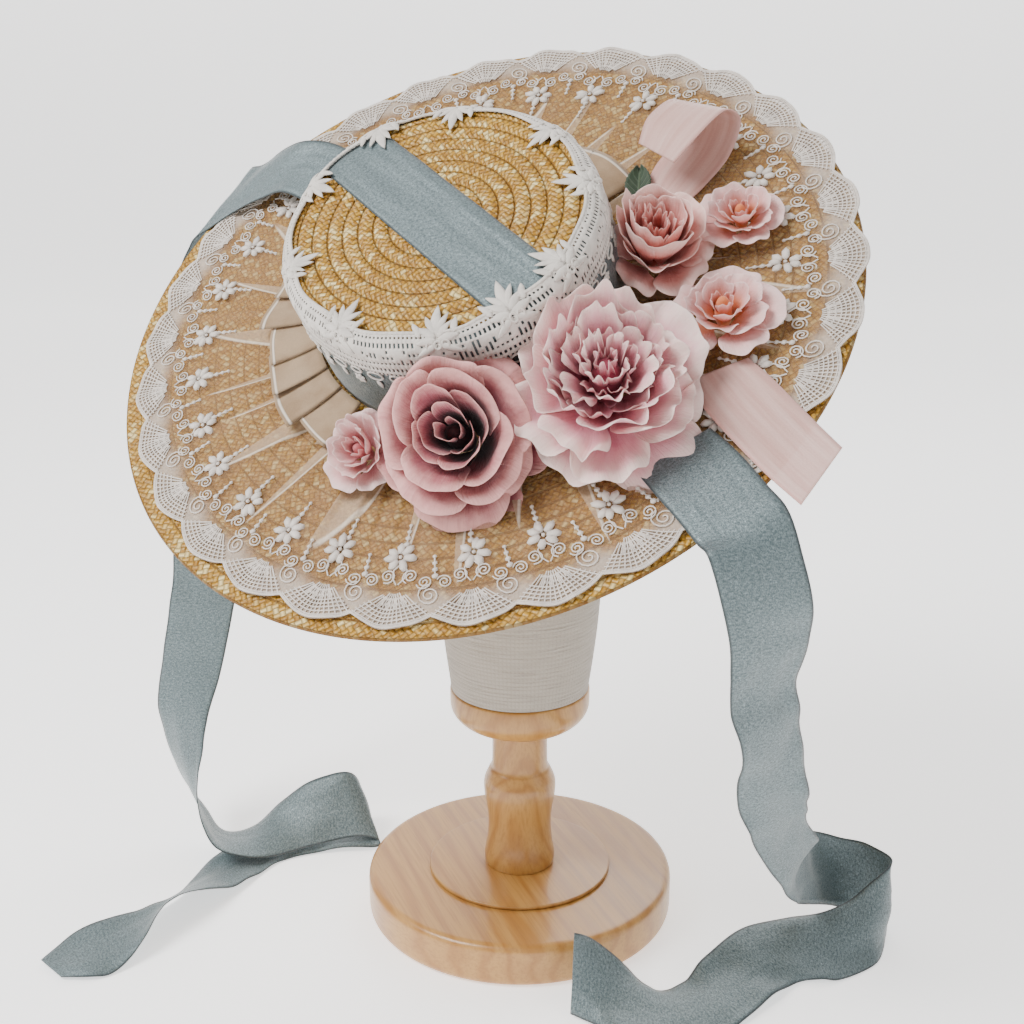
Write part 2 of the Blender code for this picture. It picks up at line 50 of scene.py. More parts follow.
# Stand
BASE_RADIUS = 0.090
BASE_HEIGHT = 0.0247
BASE_ROUNDING = 0.0052
STEP_RADIUS = 0.0536
STEP_HEIGHT = 0.0022
STEP_ROUNDING = 0.0012
POST_FOOT_RADIUS = 0.0203
POST_TOP = 0.1148
POST_OUTLINE = (
    # share of the post's height, share of its foot's radius
    (0.000, 1.00),
    (0.060, 1.02),
    (0.200, 0.93),
    (0.340, 0.92),
    (0.500, 1.02),
    (0.600, 1.03),
    (0.680, 0.90),
    (0.740, 0.80),
    (1.000, 0.79),
)
COLLAR_NECK = 0.017
COLLAR_RADIUS = 0.0402
COLLAR_LIP = 0.009
COLLAR_TOP = 0.1398
BLOCK_FOOT_RADIUS = 0.0395
BLOCK_RADIUS = 0.0460
BLOCK_FLARE = 0.040
BLOCK_SHOULDER = 0.3186
BLOCK_DOME = 0.120

# Hat
BRIM_RADIUS = 0.200
STRAW = 0.0024
CROWN_LONG = 0.0867
CROWN_SHORT = 0.0798
CROWN_TURN = math.radians(35.6)
CROWN_HEIGHT = 0.065
CROWN_ROUNDING = 0.009
CROWN_SIDE = CROWN_HEIGHT - CROWN_ROUNDING - STRAW / 2 - GAP
PLAIT = 0.0042
CROWN_SIDE_ROWS = 7
CROWN_EDGE_ROWS = 2
CROWN_TIP_ROWS = 9
BRIM_ROWS = 14
# the places across a braid that its relief is made from, on the crown and on the brim's two faces
ROW_SAMPLES = (0.0, 0.14, 0.38, 0.62, 0.84, 1.0)
TOP_SAMPLES = (0.0, 0.30, 0.60, 0.86, 0.97)
UNDER_SAMPLES = (0.0, 0.5, 0.9)
SEAM_DEPTH = 0.0011
PLAIT_RELIEF = 0.0006
PLAIT_FOOT = -0.0004
BRIM_OVERLAP = 0.0008
HAT_CENTRE = Vector((-0.0243, -0.0098, 0.3587))
TIP_FORWARD = math.radians(37.87)
LEAN_LEFT = math.radians(-16.05)
HAT = (
    Matrix.Translation(HAT_CENTRE)
    @ Matrix.Rotation(TIP_FORWARD, 4, "X")
    @ Matrix.Rotation(LEAN_LEFT, 4, "Y")
)

# Cloth trims. The solids' cloth is thicker than the thin cloth made here.
CAD_CLOTH = 0.0010
CLOTH_LIFT = 0.0003
LACE_INSET = 0.003
FOLD_HEIGHT = 0.0030
LACE_RADIUS = 0.1985
LACE_SHIFT = (0.0045, 0.0020)
SCALLOPS = 30
SCALLOP_PITCH = math.tau / SCALLOPS
SCALLOP_DEPTH = 0.0065
GATHERS = 50
LAID_FOLDS = 27
GATHER_LEAN = 0.78
GATHER_HEIGHT = 0.0022
THREAD = 0.00042
BAND_FOOT = 0.006
BAND_SHARE = 1.74
CROWN_MOTIFS = (-171, -128, -89, -64, -40, -1, 34, 81, 112, 146)
HANGING_SPRIGS = 22
CORD = 0.00045
LACE_WALL = 0.0006
LACE_ROWS = (
    # each row of cells: its lower edge on the crown's face, and its share of holes
    (0.800, 0.95),
    (0.830, 0.00),
    (0.860, 0.95),
    (0.900, 0.00),
    (0.950, 0.95),
    (0.975, 0.30),
    (1.070, 0.30),
    (1.165, 0.30),
    (1.260, 0.30),
    (1.355, 0.00),
    (1.420, 0.95),
    (1.560, 0.00),
    (1.680, 0.95),
    (1.740, 0.00),
    (1.850, 0.00),
)
LACE_CLUSTER = (
    # each leaf: turn aside, heading in degrees, length, width, start in from the side's top, lift
    (0.0, 0, 0.0175, 0.0048, 0.0095, 0.0004),
    (0.0, 24, 0.0125, 0.0036, 0.0105, 0.0004),
    (0.0, -28, 0.0115, 0.0036, 0.0105, 0.0004),
    (0.0, 55, 0.0105, 0.0036, 0.0095, 0.0004),
    (0.0, -60, 0.0110, 0.0038, 0.0095, 0.0004),
    (0.0, 84, 0.0110, 0.0034, 0.0085, 0.0004),
    (0.0, -88, 0.0100, 0.0034, 0.0085, 0.0004),
    (0.0, 112, 0.0120, 0.0030, 0.0070, 0.0004),
    (0.0, -114, 0.0115, 0.0030, 0.0070, 0.0004),
    (0.10, 25, 0.0080, 0.0034, 0.0100, 0.0005),
    (-0.10, -22, 0.0085, 0.0034, 0.0100, 0.0005),
)
PLEATS = 15
PLEAT_ARC = (40, 228)
PLEAT_WIDTH = 0.031
RIBBON_WIDTH = 0.042
ORGANZA_WIDTH = 0.034
STRAP_TURN = math.radians(126.5)
STRAP_REACH = 1.9
FLOWER_FOOT = 0.34
CRUMPLES = 42.0
CRUMPLE_DEPTH = 0.11
CRUMPLE_SEED = 1
THIN_WALL = 0.0004
RIBBON_WALL = 0.0005
PETAL_WALL = 0.00035

# Stage
FLOOR_WIDTH = 8.0
FLOOR_DEPTH = 2.4
FLOOR_BEND = 0.8
FLOOR_GAP = 0.0002
FLOOR_GLOW = 1.05
BACKDROP_RISE = 2.5
WORLD_STRENGTH = 0.55
LIGHTS = (
    # name, place, aim, size, watts
    ("window", (-1.0, -0.5, 1.5), (0, 0, 0.30), 0.8, 36.0),
    ("fill", (1.3, -0.9, 0.9), (0, 0, 0.25), 1.2, 5.0),
    ("back", (0.5, 1.2, 1.4), (0, 0, 0.35), 1.0, 10.0),
)

# Camera, at the photograph's angle
EYE = Vector((0.0, -0.7455, 0.4654))
LOOK_DOWN = 0.2894
LOOK_LEFT = 0.0061
LENS = 49.22


def clamp(share):
    return min(max(share, 0.0), 1.0)


def blend(low, high, share):
    return low + (high - low) * share


def smoothstep(share):
    share = clamp(share)
    return share * share * (3.0 - 2.0 * share)


def polar(radius, angle, height):
    return Vector((radius * math.cos(angle), radius * math.sin(angle), height))


def direction(turn, lean):
    """The unit vector at this turn round Z from +X and this lean up from the floor, in degrees."""
    turn, lean = math.radians(turn), math.radians(lean)
    return Vector((math.cos(lean) * math.cos(turn), math.cos(lean) * math.sin(turn), math.sin(lean)))


# Materials

FINISHES = {}

# The Mix node's colour sockets, by number because their names repeat
COLOUR_A = 6
COLOUR_B = 7
COLOUR_RESULT = 2


def arithmetic(operation, swapped=False):
    """A method of Value for one sign, with the other number first when swapped."""

    def method(self, other):
        terms = (other, self) if swapped else (self, other)
        return self.maths(operation, *terms)

    return method


class Value:
    """A number that changes over a surface. Arithmetic on it adds the Math nodes."""

    __add__ = arithmetic("ADD")
    __radd__ = arithmetic("ADD", swapped=True)
    __sub__ = arithmetic("SUBTRACT")
    __rsub__ = arithmetic("SUBTRACT", swapped=True)
    __mul__ = arithmetic("MULTIPLY")
    __rmul__ = arithmetic("MULTIPLY", swapped=True)
    __truediv__ = arithmetic("DIVIDE")
    __pow__ = arithmetic("POWER")
    least = arithmetic("MINIMUM")
    most = arithmetic("MAXIMUM")

    def __init__(self, finish, socket):
        self.finish = finish
        self.socket = socket

    def maths(self, operation, *terms):
        sockets = dict(enumerate(terms))
        return self.finish.add("ShaderNodeMath", {"operation": operation}, sockets)

    def sine(self):
        return self.maths("SINE", self)

    def size(self):
        return self.maths("ABSOLUTE", self)

    def whole(self):
        return self.maths("FLOOR", self)

    def part(self):
        return self.maths("FRACT", self)

    def step(self, low, high):
        """0 below low and 1 above high, smooth between them. With low above high it falls."""
        sockets = {"Value": self, "From Min": low, "From Max": high}
        return self.finish.add("ShaderNodeMapRange", {"interpolation_type": "SMOOTHSTEP"}, sockets)


class Finish:
    """One material round a Principled BSDF, with a method for each kind of pattern."""

    def __init__(self, name, **constants):
        self.material = bpy.data.materials.new(name)
        self.material.use_nodes = True
        FINISHES[name] = self.material
        self.tree = self.material.node_tree
        self.shader = self.tree.nodes["Principled BSDF"]
        for socket, value in constants.items():
            self.set(socket.replace("_", " "), value)

    def link(self, socket, value):
        if isinstance(value, Value):
            self.tree.links.new(value.socket, socket)
        elif isinstance(value, (tuple, list)) and len(value) == 3 and socket.type == "RGBA":
            socket.default_value = (*value, 1.0)
        else:
            socket.default_value = value

    def add(self, kind, settings=None, sockets=None, output=0):
        """A node of this kind, with its settings made first. Returns one of its outputs."""
        node = self.tree.nodes.new(kind)
        for setting, value in (settings or {}).items():
            setattr(node, setting, value)
        for socket, value in (sockets or {}).items():
            self.link(node.inputs[socket], value)
        return Value(self, node.outputs[output])

    def set(self, socket, value):
        self.link(self.shader.inputs[socket], value)

    def stretched(self, vector, scale):
        return self.add("ShaderNodeMapping", {}, {"Vector": vector, "Scale": scale})

    def place(self, turn=(0, 0, 0)):
        """Object coordinates, turned."""
        where = self.add("ShaderNodeTexCoord", output="Object")
        return self.add("ShaderNodeMapping", {}, {"Vector": where, "Rotation": turn})

    def pattern(self, scale=(1, 1, 1)):
        """The piece's own UV map, stretched."""
        return self.stretched(self.add("ShaderNodeUVMap", {"uv_map": "pattern"}), scale)

    def axes(self, vector):
        """The vector's first and second numbers."""
        across = self.add("ShaderNodeSeparateXYZ", {}, {"Vector": vector}, "X")
        along = self.add("ShaderNodeSeparateXYZ", {}, {"Vector": vector}, "Y")
        return across, along

    def noise(self, vector, scale, detail=3.0, rough=0.5):
        sockets = {"Vector": vector, "Scale": scale, "Detail": detail, "Roughness": rough}
        return self.add("ShaderNodeTexNoise", {}, sockets)

    def random(self, *numbers):
        """A number from 0 to 1 for each cell of a pattern."""
        sockets = dict(zip("XYZ", numbers))
        cell = self.add("ShaderNodeCombineXYZ", {}, sockets)
        return self.add("ShaderNodeTexWhiteNoise", {}, {"Vector": cell})

    def attribute(self, name):
        return self.add("ShaderNodeAttribute", {"attribute_name": name}, output="Fac")

    def mix(self, share, first, second):
        """The first colour where the share is 0, the second where it is 1."""
        settings = {"data_type": "RGBA", "clamp_factor": True}
        sockets = {"Factor": share, COLOUR_A: first, COLOUR_B: second}
        return self.add("ShaderNodeMix", settings, sockets, COLOUR_RESULT)

    def bump(self, height, distance, strength=1.0):
        sockets = {"Height": height, "Distance": distance, "Strength": strength}
        self.set("Normal", self.add("ShaderNodeBump", {}, sockets))


def wood_finish(name, grain_turn, rings):
    """Varnished pine: pale straight grain, a few dark lines, under a thin gloss coat."""
    finish = Finish(name, Coat_Weight=0.35, Coat_Roughness=0.12)
    where = finish.place(turn=grain_turn)
    stretched = finish.stretched(where, (2.2, 16.0, 16.0))
    drift = finish.noise(stretched, 2.4, 3.0)
    across = finish.axes(where)[1]
    lines = ((across + drift * 0.030) * rings).sine() * 0.5 + 0.5
    fine = finish.noise(finish.stretched(where, (18.0, 420.0, 420.0)), 1.6, 4.0, 0.6)
    pale = finish.mix(lines ** 2.2, (0.52, 0.275, 0.075), (0.42, 0.195, 0.045))
    warm = finish.mix(fine.step(0.40, 0.72) * 0.45, pale, (0.30, 0.125, 0.034))
    knots = finish.noise(stretched, 1.1, 2.0).step(0.60, 0.80)
    finish.set("Base Color", finish.mix(knots * 0.4, warm, (0.26, 0.095, 0.024)))
    finish.set("Roughness", 0.36 - lines * 0.06 + fine * 0.10)
    finish.bump(fine + lines * 0.4, 0.00012, 0.35)
    return finish.material


def linen_finish():
    """Plain pale linen: threads both ways, some thicker, with faint stains."""
    finish = Finish("linen", Sheen_Weight=0.25, Sheen_Roughness=0.5)
    around, up = finish.axes(finish.pattern((420.0, 420.0, 1.0)))
    weave = ((around * 3.1).sine() * (up * 3.1).sine()).size()
    slubs = finish.noise(finish.pattern((9.0, 160.0, 1.0)), 4.0, 4.0, 0.6).step(0.48, 0.75)
    stains = finish.noise(finish.place(), 24.0, 5.0, 0.62)
    base = finish.mix(slubs * 0.5, (0.42, 0.372, 0.315), (0.30, 0.255, 0.205))
    marked = finish.mix(stains.step(0.62, 0.76) * 0.45, base, (0.19, 0.14, 0.10))
    finish.set("Base Color", finish.mix(weave * 0.25, marked, (0.52, 0.475, 0.415)))
    finish.set("Roughness", 0.86 + weave * 0.08)
    finish.bump(weave + slubs * 1.6, 0.0004, 0.6)
    return finish.material


def straw_finish():
    """Plaited straw. The pattern's first number counts plaits along a braid, its second braids. The
    hollows between straws and the seams between rows are darkened with painted shade, and some straws
    and some streaks carry painted highlights.
    """
    finish = Finish("straw", Coat_Weight=0.05, Coat_Roughness=0.3, Specular_IOR_Level=0.35)
    along, across = finish.axes(finish.pattern())
    fall = along + across * 2.0
    rise = along - across * 2.0
    over = ((fall.whole() + rise.whole()) * 0.5).part().step(0.24, 0.26)
    strand = (over * fall.part() + (1.0 - over) * rise.part()) * math.pi
    round_straw = strand.sine()
    shade = finish.random(fall.whole(), rise.whole())
    streak = finish.noise(finish.place(), 620.0, 2.0)
    patches = finish.noise(finish.place(), 38.0, 4.0, 0.6)
    seam = (across.part() - 0.5).size().step(0.38, 0.5)
    gold = finish.mix(shade, (0.37, 0.168, 0.010), (0.65, 0.37, 0.042))
    # some straws, picked at random, are given a painted highlight colour
    bright = finish.mix(shade.step(0.72, 0.92) * 0.75, gold, (0.95, 0.78, 0.36))
    tanned = finish.mix(patches.step(0.50, 0.72) * 0.6, bright, (0.36, 0.155, 0.010))
    # painted highlight streaks along the straw
    lit = finish.mix(streak.step(0.45, 0.75) * 0.35, tanned, (0.96, 0.80, 0.42))
    # painted shade in the hollows between straws and in the seams between braid rows
    painted_hollow_shade = ((1.0 - round_straw) * 0.75).most(seam * 0.85)
    finish.set("Base Color", finish.mix(painted_hollow_shade, lit, (0.120, 0.045, 0.005)))
    finish.set("Roughness", 0.52 - shade * 0.18 + seam * 0.2)
    finish.bump(round_straw + streak * 0.15 - seam * 1.2, 0.0007, 0.9)
    return finish.material


def tulle_finish():
    """Fine net, a veil over the straw, with laid folds that narrow outwards to an edge. The veil's tan
    tint is partly the net's colour and partly painted shade on the straw beneath. The folds are lighter,
    partly because the net lies double there and partly from painted highlight, and their edges carry a
    painted highlight.

    The pattern runs round the hat in gathers and out from 0 at the crown to 1 at the edge.
    """
    finish = Finish("tulle", Sheen_Weight=0.2, Sheen_Roughness=0.4, Roughness=0.8)
    around, out = finish.axes(finish.pattern())
    turn = around * (math.tau / GATHERS)
    drift = (turn * 5.0 + 1.3).sine() * 0.24 + (turn * 11.0).sine() * 0.12
    count = around * (LAID_FOLDS / GATHERS) + drift
    number, place = count.whole(), count.part()
    length = finish.random(number) * 0.40 + 0.52
    bow = (out * 4.0 + finish.random(number, 1.0) * 6.0).sine() * 0.05
    inside = (1.0 - out / length) * 0.52 + bow - place
    shown = (length - out).step(0.0, 0.10)
    wedge = inside.step(-0.02, 0.03) * shown
    ridge = inside.size().step(0.036, 0.008) * shown
    streaks = finish.noise(finish.pattern((1.7, 0.55, 1.0)), 1.0, 3.0, 0.55).step(0.42, 0.72)
    net = finish.noise(finish.place(), 900.0, 2.0)
    border = out.step(0.80, 0.92)
    hem = (out - 0.988).size().step(0.012, 0.0) * 0.8
    veil = 0.34 + streaks * 0.10 + wedge * 0.20 + ridge * 0.24 + border * 0.26
    finish.set("Alpha", (veil + net.step(0.3, 0.7) * 0.14 - 0.07 + hem).least(1.0).most(0.0))
    # the dark tan is the net's colour plus painted shade on the straw beneath; the folds are lighter
    # from the doubled net and from painted highlight
    laid = finish.mix(wedge * 0.8, (0.42, 0.24, 0.12), (0.63, 0.46, 0.31))
    # a painted highlight along each fold's edge
    ridge_highlighted = finish.mix(ridge, laid, (0.86, 0.74, 0.60))
    finish.set("Base Color", finish.mix(border * 0.75, ridge_highlighted, (0.78, 0.69, 0.60)))
    finish.bump(net + streaks * 1.0 + wedge * 2.0 + ridge * 2.0, 0.0003, 0.4)
    return finish.material


def embroidery_finish(name, colour):
    """Raised ivory thread in satin stitch."""
    finish = Finish(name, Sheen_Weight=0.3, Sheen_Roughness=0.35)
    stitch = finish.noise(finish.place(), 1500.0, 2.0)
    shade = finish.noise(finish.place(), 160.0, 3.0)
    dusk = tuple(part * 0.80 for part in colour)
    finish.set("Base Color", finish.mix(shade.step(0.35, 0.75), colour, dusk))
    finish.set("Roughness", 0.72 + stitch * 0.15)
    finish.bump(stitch, 0.0002, 0.5)
    return finish.material


def ribbon_finish(name, deep, light, width):
    """Woven ribbon with a brushed metallic sheen and a dark selvedge down each edge.

    The pattern runs across from 0 to 1 and along in metres.
    """
    finish = Finish(name, Sheen_Weight=0.35, Sheen_Roughness=0.35, Specular_IOR_Level=0.6)
    across, along = finish.axes(finish.pattern())
    edge = (across - 0.5).size().step(0.466, 0.488)
    weave = finish.noise(finish.pattern((width * 2400.0, 900.0, 1.0)), 1.0, 2.0)
    brushed = finish.noise(finish.pattern((width * 520.0, 900.0, 1.0)), 1.0, 4.0, 0.7)
    glint = finish.noise(finish.place(), 1100.0, 3.0, 0.7).step(0.55, 0.70)
    crease = finish.noise(finish.pattern((5.0, 18.0, 1.0)), 1.0, 3.0)
    tone = (weave * 0.4 + brushed * 0.6).step(0.38, 0.62)
    cloth = finish.mix(tone, deep, light)
    bright = tuple(min(1.0, part * 2.0 + 0.08) for part in light)
    shining = finish.mix(glint * 0.40, cloth, bright)
    bound = tuple(part * 0.38 for part in deep)
    finish.set("Base Color", finish.mix(edge * 0.85, shining, bound))
    finish.set("Roughness", 0.56 - tone * 0.16 - glint * 0.14)
    finish.set("Metallic", 0.28 * (1.0 - edge))
    finish.bump(weave + brushed + crease * 5.0, 0.00035, 0.5)
    return finish.material


def organza_finish():
    """Sheer pink organza with a satin edge. Its folds are lighter on their crests and darker in their
    troughs, with painted light and shade.
    """
    finish = Finish("pink_organza", Sheen_Weight=0.4, Sheen_Roughness=0.3, Roughness=0.5)
    across, along = finish.axes(finish.pattern())
    edge = (across - 0.5).size().step(0.44, 0.475)
    weave = finish.noise(finish.place(), 1100.0, 2.0)
    folds = finish.noise(finish.pattern((7.0, 11.0, 1.0)), 1.0, 3.0)
    finish.set("Alpha", (0.66 + folds * 0.18 + weave * 0.12 + edge * 0.2).least(1.0))
    # painted shade in the folds' troughs and painted light on their crests
    pink = finish.mix(folds.step(0.3, 0.7), (0.70, 0.40, 0.345), (0.80, 0.54, 0.48))
    finish.set("Base Color", finish.mix(edge * 0.5, pink, (0.60, 0.30, 0.26)))
    finish.bump(weave + folds * 4.0, 0.0003, 0.5)
    return finish.material


def petal_finish(name, heart, middle, rim):
    """Silk petal: deep at its foot, pale at its rim, with fine veins along it.

    The pattern runs across from 0 to 1 and out from 0 at the petal's foot to 1 at its rim. The
    attribute "deep" is painted shade: it pulls a petal's colour towards the heart's, most for petals
    that lie inside the flower.
    """
    finish = Finish(
        name,
        Sheen_Weight=0.25,
        Sheen_Roughness=0.5,
        Subsurface_Weight=0.08,
        Subsurface_Radius=(0.004, 0.002, 0.0015),
        Subsurface_Scale=0.5,
    )
    across, out = finish.axes(finish.pattern())
    veins = finish.noise(finish.pattern((26.0, 1.6, 1.0)), 1.0, 4.0, 0.6)
    blotch = finish.noise(finish.place(), 90.0, 4.0, 0.6)
    weave = finish.noise(finish.place(), 1600.0, 1.0)
    # painted shade on petals that lie inside the flower
    deep = finish.attribute("deep")
    reach = out + (blotch - 0.5) * 0.6 - deep * 0.32
    inner = finish.mix(reach.step(0.08, 0.58), heart, middle)
    outer = finish.mix(reach.step(0.42, 0.98), inner, rim)
    veined = finish.mix(veins.step(0.52, 0.80) * 0.28, outer, middle)
    edge = out.step(0.93, 0.995) * 0.45
    pale = tuple(min(1.0, part * 1.06 + 0.03) for part in rim)
    finish.set("Base Color", finish.mix(edge, veined, pale))
    finish.set("Roughness", 0.80 - weave * 0.12)
    finish.bump(veins * 2.2 + weave * 0.4 + blotch * 2.0, 0.0005, 0.6)
    return finish.material


def cream_finish():
    """Fine cream cotton with a stitched hem at its outer edge."""
    finish = Finish("cream_cloth", Sheen_Weight=0.2, Sheen_Roughness=0.5, Roughness=0.8)
    across, out = finish.axes(finish.pattern())
    weave = finish.noise(finish.place(), 1300.0, 2.0)
    hem = (out - 0.93).size().step(0.035, 0.010)
    tone = finish.noise(finish.place(), 60.0, 3.0)
    base = finish.mix(tone.step(0.3, 0.7), (0.38, 0.250, 0.140), (0.50, 0.350, 0.215))
    finish.set("Base Color", finish.mix(hem * 0.8, base, (0.82, 0.72, 0.60)))
    finish.set("Alpha", (0.66 + weave * 0.22 + hem * 0.3).least(1.0))
    finish.bump(weave + hem * 4.0, 0.0003, 0.6)
    return finish.material


def leaf_finish():
    """Dark green cotton with a pale keel and slanting ribs."""
    finish = Finish("leaf", Roughness=0.6, Sheen_Weight=0.2)
    across, out = finish.axes(finish.pattern())
    ribs = ((out * 34.0 + (across - 0.5).size() * -22.0).sine()).step(0.6, 1.0)
    keel = (across - 0.5).size().step(0.06, 0.02)
    tone = finish.noise(finish.place(), 120.0, 4.0)
    green = finish.mix(tone, (0.010, 0.028, 0.012), (0.030, 0.060, 0.024))
    finish.set("Base Color", finish.mix((ribs * 0.4).most(keel * 0.7), green, (0.07, 0.11, 0.05)))
    finish.bump(tone + ribs * 0.5 + keel * 2.0, 0.0004, 0.7)
    return finish.material


# Making meshes


def surface(across, along, place, pattern=None, flip=False):
    """A grid of cells whose corners go where place(u, v) says, u and v from 0 to 1.

    pattern(u, v, middle) gives a corner's place on the UV map, where middle is the v of its cell's
    middle. Without it, it is u, v.
    """
    bm = bmesh.new()
    bmesh.ops.create_grid(bm, x_segments=across, y_segments=along, size=0.5)
    layer = bm.loops.layers.uv.new("pattern")
    for face in bm.faces:
        middle = face.calc_center_median().y + 0.5
        for loop in face.loops:
            u, v = loop.vert.co.x + 0.5, loop.vert.co.y + 0.5
            loop[layer].uv = pattern(u, v, middle) if pattern else (u, v)
    for vert in bm.verts:
        vert.co = place(vert.co.x + 0.5, vert.co.y + 0.5)
    bmesh.ops.remove_doubles(bm, verts=bm.verts, dist=1e-6)
    if flip:
        bmesh.ops.reverse_faces(bm, faces=bm.faces)
    return bm


def piece(name, bm, material, slot, *nodes, matrix=None):
    """A finished object that rides on the model and stands for these nodes."""
    if matrix:
        bmesh.ops.transform(bm, matrix=matrix, verts=bm.verts)
    mesh = bpy.data.meshes.new(name)
    bm.to_mesh(mesh)
    bm.free()
    mesh.shade_smooth()
    mesh.materials.append(material)
    obj = bpy.data.objects.new(name, mesh)
    bpy.context.scene.collection.objects.link(obj)
    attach(obj, "root")
    if nodes:
        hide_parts(*nodes)
    return obj


def wall(obj, thickness):
    """Gives the piece a wall, half of it on each side."""
    made = obj.modifiers.new("wall", "SOLIDIFY")
    made.thickness = thickness
    made.offset = 0.0


def smooth(obj):
    made = obj.modifiers.new("smooth", "SUBSURF")
    made.levels = 1
    made.render_levels = 1


def take_in(bm, made):
    """Moves the mesh that was made into bm."""
    mesh = bpy.data.meshes.new("part")
    made.to_mesh(mesh)
    made.free()
    bm.from_mesh(mesh)
    bpy.data.meshes.remove(mesh)


def catmull(rows, steps):
    """Rows of vectors, joined by a smooth curve with this many steps between neighbours."""
    ends = [rows[0]] + rows + [rows[-1]]
    found = []
    for before, start, stop, after in zip(ends, ends[1:], ends[2:], ends[3:]):
        for step in range(steps):
            t = step / steps
            slope = (stop - before) * t
            bend = (2.0 * before - 5.0 * start + 4.0 * stop - after) * t * t
            twist = (3.0 * start - before - 3.0 * stop + after) * t * t * t
            found.append(0.5 * (2.0 * start + slope + bend + twist))
    found.append(rows[-1].copy())
    return found


# Stand


def turned(node, profile, steps, material, slot, crease):
    """Turns a profile of (radius, height) pairs round Z, from the axis below to the axis above."""
    bm = bmesh.new()
    ring = [bm.verts.new((radius, 0.0, height)) for radius, height in profile]
    edges = [bm.edges.new(pair) for pair in zip(ring, ring[1:])]
    bmesh.ops.spin(
        bm,
        geom=ring + edges,
        axis=(0, 0, 1),
        cent=(0, 0, 0),
        angle=math.tau,
        steps=steps,
        use_merge=True,
    )
    bmesh.ops.remove_doubles(bm, verts=bm.verts, dist=1e-6)
    bmesh.ops.recalc_face_normals(bm, faces=bm.faces)
    layer = bm.loops.layers.uv.new("pattern")
    for face in bm.faces:
        middle = face.calc_center_median()
        start = math.atan2(middle.y, middle.x)
        for loop in face.loops:
            spot = loop.vert.co
            angle = math.atan2(spot.y, spot.x)
            turn = start + math.remainder(angle - start, math.tau)
            loop[layer].uv = (turn * BLOCK_RADIUS, spot.z)
    obj = piece(node + "_look", bm, material, slot, node)
    obj.data.set_sharp_from_angle(angle=math.radians(crease))
    return obj


def rounded(corners, rounding, steps=4):
    """The profile with each inner corner cut by an arc of points."""
    points = [Vector(corner) for corner in corners]
    found = [points[0]]
    for before, corner, after in zip(points, points[1:], points[2:]):
        reach = min(rounding, 0.45 * (before - corner).length, 0.45 * (after - corner).length)
        start = corner + (before - corner).normalized() * reach
        stop = corner + (after - corner).normalized() * reach
        for step in range(steps + 1):
            t = step / steps
            found.append(start.lerp(corner, t).lerp(corner.lerp(stop, t), t))
    found.append(points[-1])
    return [(max(point.x, 0.0), point.y) for point in found]


def disc(foot, radius, height):
    """The profile of a plain disc."""
    return [(0.0, foot), (radius, foot), (radius, foot + height), (0.0, foot + height)]


def quarter(steps):
    """The angles of a quarter turn, from 0 to 90 degrees."""
    return [math.radians(90.0 * step / steps) for step in range(steps + 1)]


def curved(rows, steps):
    return [(point.x, point.y) for point in catmull(rows, steps)]


def build_stand():
    flat_grain = wood_finish("pine_flat", (0, 0, math.radians(68)), 520.0)
    upright_grain = wood_finish("pine_upright", (0, math.radians(90), math.radians(20)), 640.0)
    base = rounded(disc(0.0, BASE_RADIUS, BASE_HEIGHT), BASE_ROUNDING, 6)
    turned("stand_base", base, 128, flat_grain, "wood", 60)
    foot = BASE_HEIGHT + GAP
    step = rounded(disc(foot, STEP_RADIUS, STEP_HEIGHT), STEP_ROUNDING)
    turned("stand_step", step, 112, flat_grain, "wood", 60)
    foot += STEP_HEIGHT + GAP
    rows = [
        Vector((POST_FOOT_RADIUS * radius, blend(foot, POST_TOP, share)))
        for share, radius in POST_OUTLINE
    ]
    post = [(0.0, foot)] + curved(rows, 6) + [(0.0, POST_TOP)]
    turned("stand_post", post, 64, upright_grain, "wood", 50)
    foot = POST_TOP + GAP
    cup = COLLAR_TOP - COLLAR_LIP - foot
    bowl = [
        (
            COLLAR_NECK + (COLLAR_RADIUS - COLLAR_NECK) * math.sin(angle),
            foot + cup * (1.0 - math.cos(angle)),
        )
        for angle in quarter(12)
    ]
    rim = [
        (COLLAR_RADIUS, COLLAR_TOP - 0.0012),
        (COLLAR_RADIUS - 0.0004, COLLAR_TOP - 0.0003),
        (COLLAR_RADIUS - 0.0012, COLLAR_TOP),
        (0.0, COLLAR_TOP),
    ]
    turned("stand_collar", [(0.0, foot)] + bowl + rim, 96, upright_grain, "wood", 50)
    foot = COLLAR_TOP + GAP
    rows = [
        Vector((BLOCK_FOOT_RADIUS, foot)),
        Vector((blend(BLOCK_FOOT_RADIUS, BLOCK_RADIUS, 0.75), foot + BLOCK_FLARE)),
        Vector((BLOCK_RADIUS, foot + 2.0 * BLOCK_FLARE)),
        Vector((BLOCK_RADIUS, BLOCK_SHOULDER)),
    ]
    dome = [
        (BLOCK_RADIUS * math.cos(angle), BLOCK_SHOULDER + BLOCK_DOME * math.sin(angle))
        for angle in quarter(24)[1:-1]
    ]
    top = [(0.0, BLOCK_SHOULDER + BLOCK_DOME)]
    outline = [(0.0, foot)] + curved(rows, 10) + dome + top
    block = turned("stand_block", outline, 96, linen_finish(), "linen", 60)


# Straw


def crown_radius(angle, extra=0.0):
    """The crown's outer oval, seen along the hat's axis."""
    along = (CROWN_LONG + extra) * math.cos(angle - CROWN_TURN)
    across = (CROWN_SHORT + extra) * math.sin(angle - CROWN_TURN)
    return (CROWN_LONG + extra) * (CROWN_SHORT + extra) / math.hypot(along, across)


